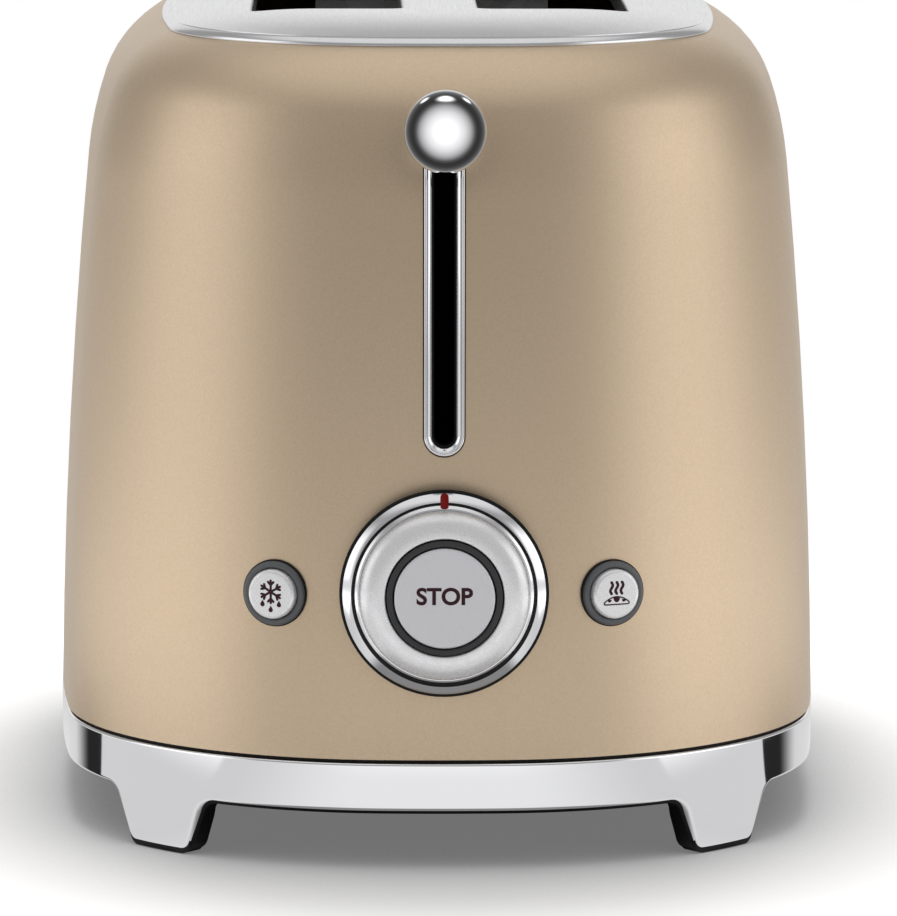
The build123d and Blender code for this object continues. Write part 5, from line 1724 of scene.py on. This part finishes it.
@cache
def wire_row() -> Tree:
    """Make the geometry tree that adds a row of straight round wires to what it is given.

    Returns:
        The tree, with inputs for the wire's run and diameter, and the row's start, step and count.
    """
    tree = tree_of("wire_row", Run="Vector", Start="Vector", Step="Vector", Count="Int", Diameter="Float",
                   Finish="Material")
    given = add(tree, "NodeGroupInput").outputs
    radius = reckon(tree, "MULTIPLY", given["Diameter"], 0.5)
    line = add(tree, "GeometryNodeCurvePrimitiveLine", {"Start": (0, 0, 0), "End": given["Run"]})
    round_ = add(tree, "GeometryNodeCurvePrimitiveCircle", {"Resolution": WIRE_SIDES, "Radius": radius})
    swept = {"Curve": line.outputs[0], "Profile Curve": round_.outputs[0], "Fill Caps": True}
    wire = add(tree, "GeometryNodeCurveToMesh", swept)
    row = row_of(tree, given, wire.outputs[0], at=given["Start"])
    both = add(tree, "GeometryNodeJoinGeometry", {"Geometry": given["Geometry"]})
    tree.links.new(row, both.inputs[0])
    add(tree, "NodeGroupOutput", {"Geometry": both.outputs[0]})
    return tree


@cache
def repeated() -> Tree:
    """Make the geometry tree that repeats what it is given along a line.

    Returns:
        The tree, with inputs for the step, the count and the finish.
    """
    tree = tree_of("repeated", Step="Vector", Count="Int", Finish="Material")
    given = add(tree, "NodeGroupInput").outputs
    add(tree, "NodeGroupOutput", {"Geometry": row_of(tree, given, given["Geometry"])})
    return tree


def grow(made: Piece, tree: Tree, finish: Finish, count: int, **sizes: float | Sequence[float]) -> None:
    """Add a geometry tree to an object, with its inputs set by their identifiers.

    Args:
        made: the object.
        tree: the tree.
        finish: the finish of what it makes.
        count: how often it repeats.
        sizes: its other inputs, in millimetres.
    """
    worked = made.modifiers.new(tree.name, "NODES")
    worked.node_group = tree
    named = {item.name: item.identifier for item in tree.interface.items_tree if item.in_out == "INPUT"}
    worked[named["Finish"]] = finish.material()
    worked[named["Count"]] = count
    for name, size in sizes.items():
        worked[named[name]] = size * MM if isinstance(size, float) else Vector(size) * MM


@dataclass
class Chamber:
    """Toasting chamber: wire guards, mica heaters, reflectors and what holds them."""

    wire: float = 1.6
    half_length: float = 77.4
    columns: int = 14
    rows: int = 5
    rail_inset: float = 12.0
    crease: float = 50.0

    def guard(self, name: str) -> None:
        """Weave one guard from rows of upright and level wires, with two long rails into the end plates.

        Args:
            name: the guard's CAD node.
        """
        low, high = box_of(name)
        x = (low[0] + high[0]) / 2
        bottom, top = low[2] + self.wire / 2, high[2] - self.wire / 2
        first, length = -self.half_length, 2 * self.half_length
        rise, rail = top - bottom, bottom + self.rail_inset
        rows = (
            ((0, 0, rise), (x, first, bottom), (0, length / (self.columns - 1), 0), self.columns),
            ((0, length, 0), (x, first, bottom), (0, 0, rise / (self.rows - 1)), self.rows),
            ((0, high[1] - low[1], 0), (x, low[1], rail), (0, 0, rise - 2 * self.rail_inset), 2),
        )
        made = stand(f"{name}_wires", bpy.data.meshes.new(name))
        for run, start, step, count in rows:
            grow(made, wire_row(), WIRE, count, Run=run, Start=start, Step=step, Diameter=self.wire)
        plain(made)
        smooth(made.data, self.crease)
        settle(made, name.replace("guard", "guide"), "bright_wire", name)

    def build(self) -> None:
        """Weave the four guards, and dress the heaters, sheets and fixings."""
        places = [f"{side}_{row}" for side in ("left", "right") for row in ("outer", "inner")]
        for place in places:
            self.guard(f"{place}_guard")
            dress(MICA, f"{place}_heater_card")
            dress(ALLOY, f"{place}_ribbon")
        dress(SHEET, "rear_end_plate", "left_reflector", "right_reflector", "rod_bracket")
        # Blackened as painted shade, so that the lever's slot looks dark inside
        dress(SHADE_BLACK_STEEL, "front_end_plate")
        dress(WIRE, "guide_rods", "lift_spring")
        dress(ZINC, "chassis_screws", "magnet_core")
        dress(COPPER, "magnet_coil")
        dress(RESIST, "control_board")
        dress(BLACK, "control_carrier", "browning_potentiometer")
        dress(BLACK, "stop_switch", "defrost_switch", "reheat_switch")


@dataclass
class Underside:
    """Base pan with its screws, cord wrap and cord gland, and the crumb tray behind."""

    head_radius: float = 2.3
    head_height: float = 1.4
    head_edge: float = 0.7
    shank_radius: float = 1.3
    shank_edge: float = 0.2
    neck: float = 0.15
    recess: Corner = (2.6, 0.62, 1.0)
    segments: int = 32
    crease: float = 40.0
    pull_edge: float = 0.7

    def screws(self) -> None:
        """Turn one cross head screw, cut its recess, and repeat it at the pan's four corners."""
        low, high = box_of("pan_screws")
        corner = low[:2] + self.head_radius
        reach = high[2] - low[2]
        under = reach - self.head_height
        outline = rounded([
            (0.0, 0.0, 0), (self.shank_radius, 0.0, self.shank_edge), (self.shank_radius, under, self.neck),
            (self.head_radius, under, self.neck), (self.head_radius, reach, self.head_edge), (0.0, reach, 0),
        ], closed=False)
        axis = Axis((*corner, high[2]), down=True)
        screw = solid("pan_screw_heads", turned(outline, axis, self.segments), (ZINC,))
        length, width, depth = self.recess
        cube = np.array([(x, y, z) for x in (-1, 1) for y in (-1, 1) for z in (-1, 1)])
        cutters = []
        for size in ((length, width), (width, length)):
            corners = cube * np.array((*size, 2 * depth)) / 2 + (*corner, low[2])
            cutters.append(solid("recess", (corners, BOX_FACES), (ZINC,)))
            cut = screw.modifiers.new("recess", "BOOLEAN")
            cut.object, cut.operation, cut.solver = cutters[-1], "DIFFERENCE", "EXACT"
        plain(screw)
        for cutter in cutters:
            bpy.data.objects.remove(cutter)
        across, along = high[:2] - low[:2] - 2 * self.head_radius
        grow(screw, repeated(), ZINC, 2, Step=(across, 0, 0))
        grow(screw, repeated(), ZINC, 2, Step=(0, along, 0))
        plain(screw)
        smooth(screw.data, self.crease)
        settle(screw, "housing", "screw_steel", "pan_screws")

    def build(self) -> None:
        """Make the screws and the tray's pull, and dress what is carried over."""
        self.screws()
        dress(BLACK, "base_pan", "cord_wrap")
        dress(RUBBER, "cord_gland")
        pull = softened("tray_pull_lip", "tray_pull", self.pull_edge, CHROME)
        settle(pull, "tray", "plated_trim", "tray_pull")
        dress(SHEET, "crumb_tray")


@dataclass(frozen=True)
class Glint:
    """A bright patch in the ball's tent: its middle and half size, away from the axis and round it."""

    away: float
    round: float
    half_away: float
    half_round: float
    strength: float


@dataclass
class BallTent:
    """Small light tent round the lever's ball, seen by the ball alone: a soft white face in a dark ring."""

    camera: Vector
    gap: float = 2.4
    start: float = 0.2
    reach: float = 96.0
    rings: int = 72
    segments: int = 160
    falloff: tuple[Point, ...] = (
        (0, 1.35), (20, 1.3), (33, 0.95), (45, 0.5), (50, 0.27), (55, 0.1), (62, 0.04), (72, 0.055),
        (82, 0.12), (89, 0.22), (96, 0.5),
    )
    glints: tuple[Glint, ...] = (
        Glint(64, 90, 8, 14, 2.0), Glint(81, 56, 5, 7, 1.8), Glint(81, 124, 5, 7, 1.8),
    )

    def build(self) -> None:
        """Make the tent's dome with its light as an attribute, open to every ray that comes from outside."""
        low, high = box_of("lever_ball")
        ball = (high[2] - low[2]) / 2
        centre = np.array((0.0, low[1] + ball, (low[2] + high[2]) / 2))
        axis = np.array(self.camera) / MM - centre
        axis /= np.linalg.norm(axis)
        right = np.cross(axis, (0.0, 0.0, 1.0)) * -1
        right /= np.linalg.norm(right)
        up = np.cross(axis, right)
        away = np.radians(np.linspace(self.start, self.reach, self.rings))[:, None]
        turn = np.radians(np.arange(self.segments) * 360 / self.segments)[None, :]
        points = centre + (ball + self.gap) * (
            np.cos(away)[..., None] * axis
            + (np.sin(away) * np.cos(turn))[..., None] * right
            + (np.sin(away) * np.sin(turn))[..., None] * up
        )
        light = np.interp(np.degrees(away), *zip(*self.falloff)) + 0 * turn
        for glint in self.glints:
            off = (np.degrees(away) - glint.away) / glint.half_away
            aside = (np.degrees(turn) - glint.round) / glint.half_round
            light = light + glint.strength * np.exp(-(off**2 + aside**2) ** 2)
        mesh = bpy.data.meshes.new("ball_tent")
        mesh.from_pydata(points.reshape(-1, 3) * MM, [], lattice(self.rings, self.segments))
        glow = mesh.attributes.new("glow", "FLOAT", "POINT")
        glow.data.foreach_set("value", light.astype(np.float32).ravel())
        mesh.materials.append(self.material())
        made = stand("ball_tent", mesh)
        made.visible_camera = made.visible_diffuse = made.visible_shadow = made.visible_transmission = False

    def material(self) -> bpy.types.Material:
        """Glow inwards, and let rays from outside through.

        Returns:
            The tent's material.
        """
        made = bare("light_tent")
        tree = made.node_tree
        level = add(tree, "ShaderNodeAttribute", attribute_name="glow").outputs["Fac"]
        inside = add(tree, "ShaderNodeEmission", {"Strength": level}).outputs[0]
        outside = add(tree, "ShaderNodeBsdfTransparent").outputs[0]
        facing = add(tree, "ShaderNodeNewGeometry").outputs["Backfacing"]
        both = add(tree, "ShaderNodeMixShader", {0: facing, 1: inside, 2: outside})
        tree.links.new(both.outputs[0], tree.nodes["Material Output"].inputs["Surface"])
        return made


@dataclass(frozen=True)
class SoftBox:
    """A soft light far off: its middle, half size and fading edge, round and up from the front."""

    turn: float
    rise: float
    half_turn: float
    half_rise: float
    fade_turn: float
    fade_rise: float
    strength: float

    def glow(self, tree: Tree, turn: Socket, rise: Socket) -> Socket:
        """Add the light's strength in each direction.

        Args:
            tree: the world's tree.
            turn: angle round from the front, in radians.
            rise: angle up from the floor, in radians.

        Returns:
            The strength.
        """
        light = self.strength
        spans = (
            (turn, self.turn, self.half_turn, self.fade_turn),
            (rise, self.rise, self.half_rise, self.fade_rise),
        )
        for angle, middle, half, fade in spans:
            away = reckon(tree, "ABSOLUTE", reckon(tree, "SUBTRACT", angle, radians(middle)))
            inside = ramp(tree, away, (radians(half + fade), radians(half)), (0.0, 1.0))
            light = product(tree, inside, light)
        return light


class FloorPlan(NamedTuple):
    """Sockets that place a point of the floor: distances in metres, and its angle round from the front."""

    across: Socket
    aside: Socket
    ahead: Socket
    away: Socket
    turn: Socket


@dataclass(frozen=True)
class PaintedDarkBar:
    """A dark patch painted into the floor for mirrors, in place of a dark flag beside the object.

    It paints a dark reflection bar on one side of the plated ring. It lies round a pivot near the ring,
    between angles from the front at which it starts, is shut, starts to open and ends.
    """

    side: Side
    near: float
    shut: float
    far: float
    clear: float
    pivot: Point = (84.0, 95.0)
    end: Point = (195.0, 225.0)
    light: float = 0.03

    def let_by(self, tree: Tree, plan: FloorPlan) -> Socket:
        """Add the share of light that the painted dark bar lets by.

        Args:
            tree: the floor's tree.
            plan: the floor's places.

        Returns:
            The share.
        """
        aside = reckon(tree, "MULTIPLY", plan.across, float(self.side))
        off = reckon(tree, "SUBTRACT", aside, self.pivot[0] * MM)
        on = reckon(tree, "SUBTRACT", plan.ahead, self.pivot[1] * MM)
        turn = reckon(tree, "ARCTAN2", off, on)
        beyond = ramp(tree, aside, metres(self.end), (self.light, 1.0))
        enter = ramp(tree, turn, np.radians((self.near, self.shut)), (1.0, self.light))
        leave = ramp(tree, turn, np.radians((self.far, self.clear)), (self.light, 1.0))
        return reckon(tree, "MAXIMUM", reckon(tree, "MAXIMUM", enter, leave), beyond)


@dataclass
class Studio:
    """White studio: a wide floor, soft light from the sides, above and behind, and the photo's camera."""

    distance: float = 1741.0
    height: float = 325.8
    azimuth: float = 0.84
    yaw: float = 0.11
    pitch: float = 8.11
    roll: float = 0.12
    focal: float = 6842.0
    photo: tuple[int, int] = (897, 916)
    axis_drop: float = 3.6
    sensor: float = 36.0
    sight: float = 100.0
    floor_size: float = 12000.0
    floor_drop: float = 0.05
    floor_gain: float = 0.86
    floor_tone: str = "#e6e6e6"
    shadow_light: float = 0.165
    shadow_reach: float = 70.0
    shadow_samples: int = 8
    white_from: Point = (200.0, 400.0)
    shadow_mirror: Point = (0.1, 0.33)
    shadow_floor: float = 0.03
    side_glow: Point = (0.79, 1.8)
    side_rise: Point = (215.0, 325.0)
    side_fade: Point = (420.0, 760.0)
    side_far: float = 0.5
    rear_from: Point = (95.0, 140.0)
    rear_light: float = 0.7
    front_glow: Point = (1.0, 1.5)
    front_rise: Point = (250.0, 340.0)
    front_fade: Point = (390.0, 650.0)
    front_far: float = 0.34
    front_spread: Point = (42.5, 41.0)
    front_dim: Point = (10.0, 39.0)
    front_edge: float = 0.78
    # A painted shadow on the floor just in front, seen only in mirrors
    front_shadow_light: float = 0.3
    front_shadow_ahead: Point = (170.0, 220.0)
    front_shadow_aside: Point = (48.0, 66.0)
    # Dark bars painted into the floor for mirrors: painted dark reflections on the plated ring's sides
    painted_dark_bars: tuple[PaintedDarkBar, ...] = (
        PaintedDarkBar(Side.LEFT, 123.5, 124.5, 136.0, 154.0), PaintedDarkBar(Side.RIGHT, 110.0, 111.0, 125.0, 145.0),
    )
    room: float = 0.4
    ceiling: float = 0.53
    ceiling_rise: float = 88.0
    ceiling_spread: Point = (49.0, 28.0)
    boxes: tuple[SoftBox, ...] = (
        SoftBox(-82, 0, 14, 22, 18, 20, 1.06),
        SoftBox(78, 0, 16, 22, 18, 20, 1.2),
        SoftBox(168, 4, 12, 8, 10, 32, 0.52),
        SoftBox(-168, 4, 12, 8, 10, 32, 0.52),
    )
    fill: float = 1.1
    lamp_place: Corner = (0.0, 520.0, 1250.0)
    lamp_size: float = 700.0
    lamp_power: float = 13.0

    def camera(self) -> None:
        """Stand the camera where the photograph was taken from, with its long lens."""
        turn, heading, pitch = map(radians, (self.azimuth, self.azimuth + self.yaw, self.pitch))
        look = Vector((sin(heading) * cos(pitch), cos(heading) * cos(pitch), -sin(pitch)))
        right = Vector((cos(heading), -sin(heading), 0))
        place = Vector((-self.distance * sin(turn), -self.distance * cos(turn), self.height)) * MM
        made = bpy.data.cameras.new("camera")
        made.sensor_width = self.sensor
        made.lens = self.sensor * self.focal / max(self.photo)
        made.shift_y = self.axis_drop / max(self.photo)
        made.clip_end = self.sight
        view = stand("camera", made)
        basis = Matrix((right, right.cross(look), -look)).transposed().to_4x4()
        view.matrix_world = Matrix.Translation(place) @ basis @ Matrix.Rotation(radians(self.roll), 4, "Z")
        bpy.context.scene.camera = view

    def plan(self, tree: Tree) -> FloorPlan:
        """Measure where a point of the floor lies.

        Args:
            tree: the floor's tree.

        Returns:
            The floor's places.
        """
        place = add(tree, "ShaderNodeTexCoord").outputs["Object"]
        split = add(tree, "ShaderNodeSeparateXYZ", {0: place}).outputs
        aside = reckon(tree, "ABSOLUTE", split["X"])
        ahead = reckon(tree, "MULTIPLY", split["Y"], -1.0)
        away = add(tree, "ShaderNodeVectorMath", {0: place}, operation="LENGTH").outputs["Value"]
        return FloorPlan(split["X"], aside, ahead, away, reckon(tree, "ARCTAN2", aside, ahead))

    def mirrored(self, tree: Tree, plan: FloorPlan, open_sky: Socket) -> Socket:
        """Light the floor for mirrors: bright in front and beside, dark under the object.

        Dark bars to the sides and a shadow just in front are painted in, as painted reflections.

        Args:
            tree: the floor's tree.
            plan: the floor's places.
            open_sky: how little the object shuts a point in, from 0 to 1.

        Returns:
            The light's strength.
        """
        rising = ramp(tree, plan.ahead, metres(self.front_rise), self.front_glow)
        fading = ramp(tree, plan.ahead, metres(self.front_fade), (1.0, self.front_far))
        dimmed = ramp(tree, plan.turn, np.radians(self.front_dim), (1.0, self.front_edge))
        # Painted shadow in front of the object, as mirrors see the floor
        front_shadow = ramp(tree, plan.ahead, metres(self.front_shadow_ahead), (self.front_shadow_light, 1.0))
        front_shadow = ramp(tree, plan.aside, metres(self.front_shadow_aside), (front_shadow, 1.0))
        before = product(tree, rising, fading, dimmed, front_shadow)
        beside = ramp(tree, plan.away, metres(self.side_rise), self.side_glow)
        beside = product(tree, beside, ramp(tree, plan.away, metres(self.side_fade), (1.0, self.side_far)))
        beside = ramp(tree, plan.turn, np.radians(self.rear_from), (beside, self.rear_light))
        around = ramp(tree, plan.turn, np.radians(self.front_spread), (beside, before))
        under = ramp(tree, open_sky, self.shadow_mirror, (self.shadow_floor, 1.0))
        return product(tree, around, *(dark_bar.let_by(tree, plan) for dark_bar in self.painted_dark_bars), under)

    def lit(self, tree: Tree, plan: FloorPlan, seen: Socket, shadow: Socket) -> Socket:
        """Make the floor for the camera and for plain light: pale and shaded by the object, white far off.

        Args:
            tree: the floor's tree.
            plan: the floor's places.
            seen: 1 for the camera's own rays.
            shadow: the object's shade as a colour.

        Returns:
            The floor's shader.
        """
        bright = (self.floor_gain, self.floor_gain, self.floor_gain, 1)
        tone = blend(tree, seen, linear(self.floor_tone), bright)
        shade = blend(tree, 1.0, tone, shadow, blend_type="MULTIPLY")
        matt = add(tree, "ShaderNodeBsdfDiffuse", {"Color": shade}).outputs[0]
        lift = product(tree, seen, self.shadow_light)
        glow = add(tree, "ShaderNodeEmission", {"Strength": lift}).outputs[0]
        near = add(tree, "ShaderNodeAddShader", {0: matt, 1: glow}).outputs[0]
        white = add(tree, "ShaderNodeEmission").outputs[0]
        share = ramp(tree, plan.away, metres(self.white_from), (0.0, seen))
        return add(tree, "ShaderNodeMixShader", {0: share, 1: near, 2: white}).outputs[0]

    def floor(self) -> None:
        """Lay a pale floor that is white to the camera and in mirrors, and keeps the object's shadow."""
        material = bare("white_studio_floor")
        tree = material.node_tree
        path = add(tree, "ShaderNodeLightPath").outputs
        plan = self.plan(tree)
        reach = {"Distance": self.shadow_reach * MM}
        shut = add(tree, "ShaderNodeAmbientOcclusion", reach, samples=self.shadow_samples).outputs
        mirror = add(tree, "ShaderNodeEmission", {"Strength": self.mirrored(tree, plan, shut["AO"])})
        lit = self.lit(tree, plan, path["Is Camera Ray"], shut["Color"])
        glossy = reckon(tree, "MAXIMUM", path["Is Glossy Ray"], path["Is Transmission Ray"])
        both = add(tree, "ShaderNodeMixShader", {0: glossy, 1: lit, 2: mirror.outputs[0]})
        tree.links.new(both.outputs[0], tree.nodes["Material Output"].inputs["Surface"])
        half = self.floor_size / 2
        points = np.array([(x * half, y * half, -self.floor_drop) for x, y in QUARTERS])
        mesh = bpy.data.meshes.new("studio_floor")
        mesh.from_pydata(points * MM, [], [(0, 1, 2, 3)])
        mesh.materials.append(material)
        stand("studio_floor", mesh)

    def world(self) -> None:
        """Light from soft boxes at both sides and behind, and a ceiling, with a dim front."""
        world = bpy.data.worlds.new("studio")
        bpy.context.scene.world = world
        world.use_nodes = True
        tree = world.node_tree
        way = add(tree, "ShaderNodeTexCoord").outputs["Generated"]
        split = add(tree, "ShaderNodeSeparateXYZ", {0: way}).outputs
        turn = reckon(tree, "ARCTAN2", split["X"], reckon(tree, "MULTIPLY", split["Y"], -1.0))
        rise = reckon(tree, "ARCSINE", split["Z"])
        lean = radians(self.ceiling_rise)
        overhead = {0: way, 1: (0, -cos(lean), sin(lean))}
        above = add(tree, "ShaderNodeVectorMath", overhead, operation="DOT_PRODUCT").outputs["Value"]
        edges = [cos(radians(d)) for d in self.ceiling_spread]
        total = ramp(tree, above, edges, (self.room, self.room + self.ceiling))
        for box in self.boxes:
            total = reckon(tree, "ADD", total, box.glow(tree, turn, rise))
        path = add(tree, "ShaderNodeLightPath").outputs
        matt = {"Value": path["Is Diffuse Ray"], "To Min": 1.0, "To Max": self.fill}
        total = product(tree, total, add(tree, "ShaderNodeMapRange", matt).outputs[0])
        final = add(tree, "ShaderNodeMix", {0: path["Is Camera Ray"], 2: total, 3: 1.0}).outputs[0]
        tree.links.new(final, tree.nodes["Background"].inputs["Strength"])
        tree.nodes["Background"].inputs["Color"].default_value = (1, 1, 1, 1)

    def lamp(self) -> None:
        """Hang a broad lamp above and behind, which lays the object's soft shadow forward on the floor."""
        light = bpy.data.lights.new("top_lamp", "AREA")
        light.size = self.lamp_size * MM
        light.energy = self.lamp_power
        made = stand("top_lamp", light)
        made.location = Vector(self.lamp_place) * MM
        made.rotation_euler = (-Vector(self.lamp_place)).to_track_quat("-Z", "Y").to_euler()
        made.visible_camera = made.visible_glossy = made.visible_transmission = False

    def build(self) -> None:
        """Set up the view, the floor and the light."""
        bpy.context.scene.view_settings.view_transform = "Standard"
        self.camera()
        self.floor()
        self.world()
        self.lamp()
        BallTent(bpy.context.scene.camera.matrix_world.translation).build()


def main() -> None:
    """Build every sub-assembly in order, then the studio."""
    logging.basicConfig(level=logging.INFO, format="%(message)s")
    high = box_of("base_ring")[1]
    form = BodyForm(half_width=high[0], half_length=high[1], bottom=box_of("body_shell")[0][2])
    BodyShell(form).build()
    BaseRing(form).build()
    TopPlate(form).build()
    Lever(form).build()
    low, high = box_of("dial_skirt")
    Dial(height=(low[2] + high[2]) / 2, face=low[1] + Dial.skirt_front).build()
    PushButton("defrost", form, Side.LEFT, SnowAndDrops()).build()
    PushButton("reheat", form, Side.RIGHT, SteamAndLoaf()).build()
    Chamber().build()
    Underside().build()
    Studio().build()


if __name__ == "__main__":
    main()
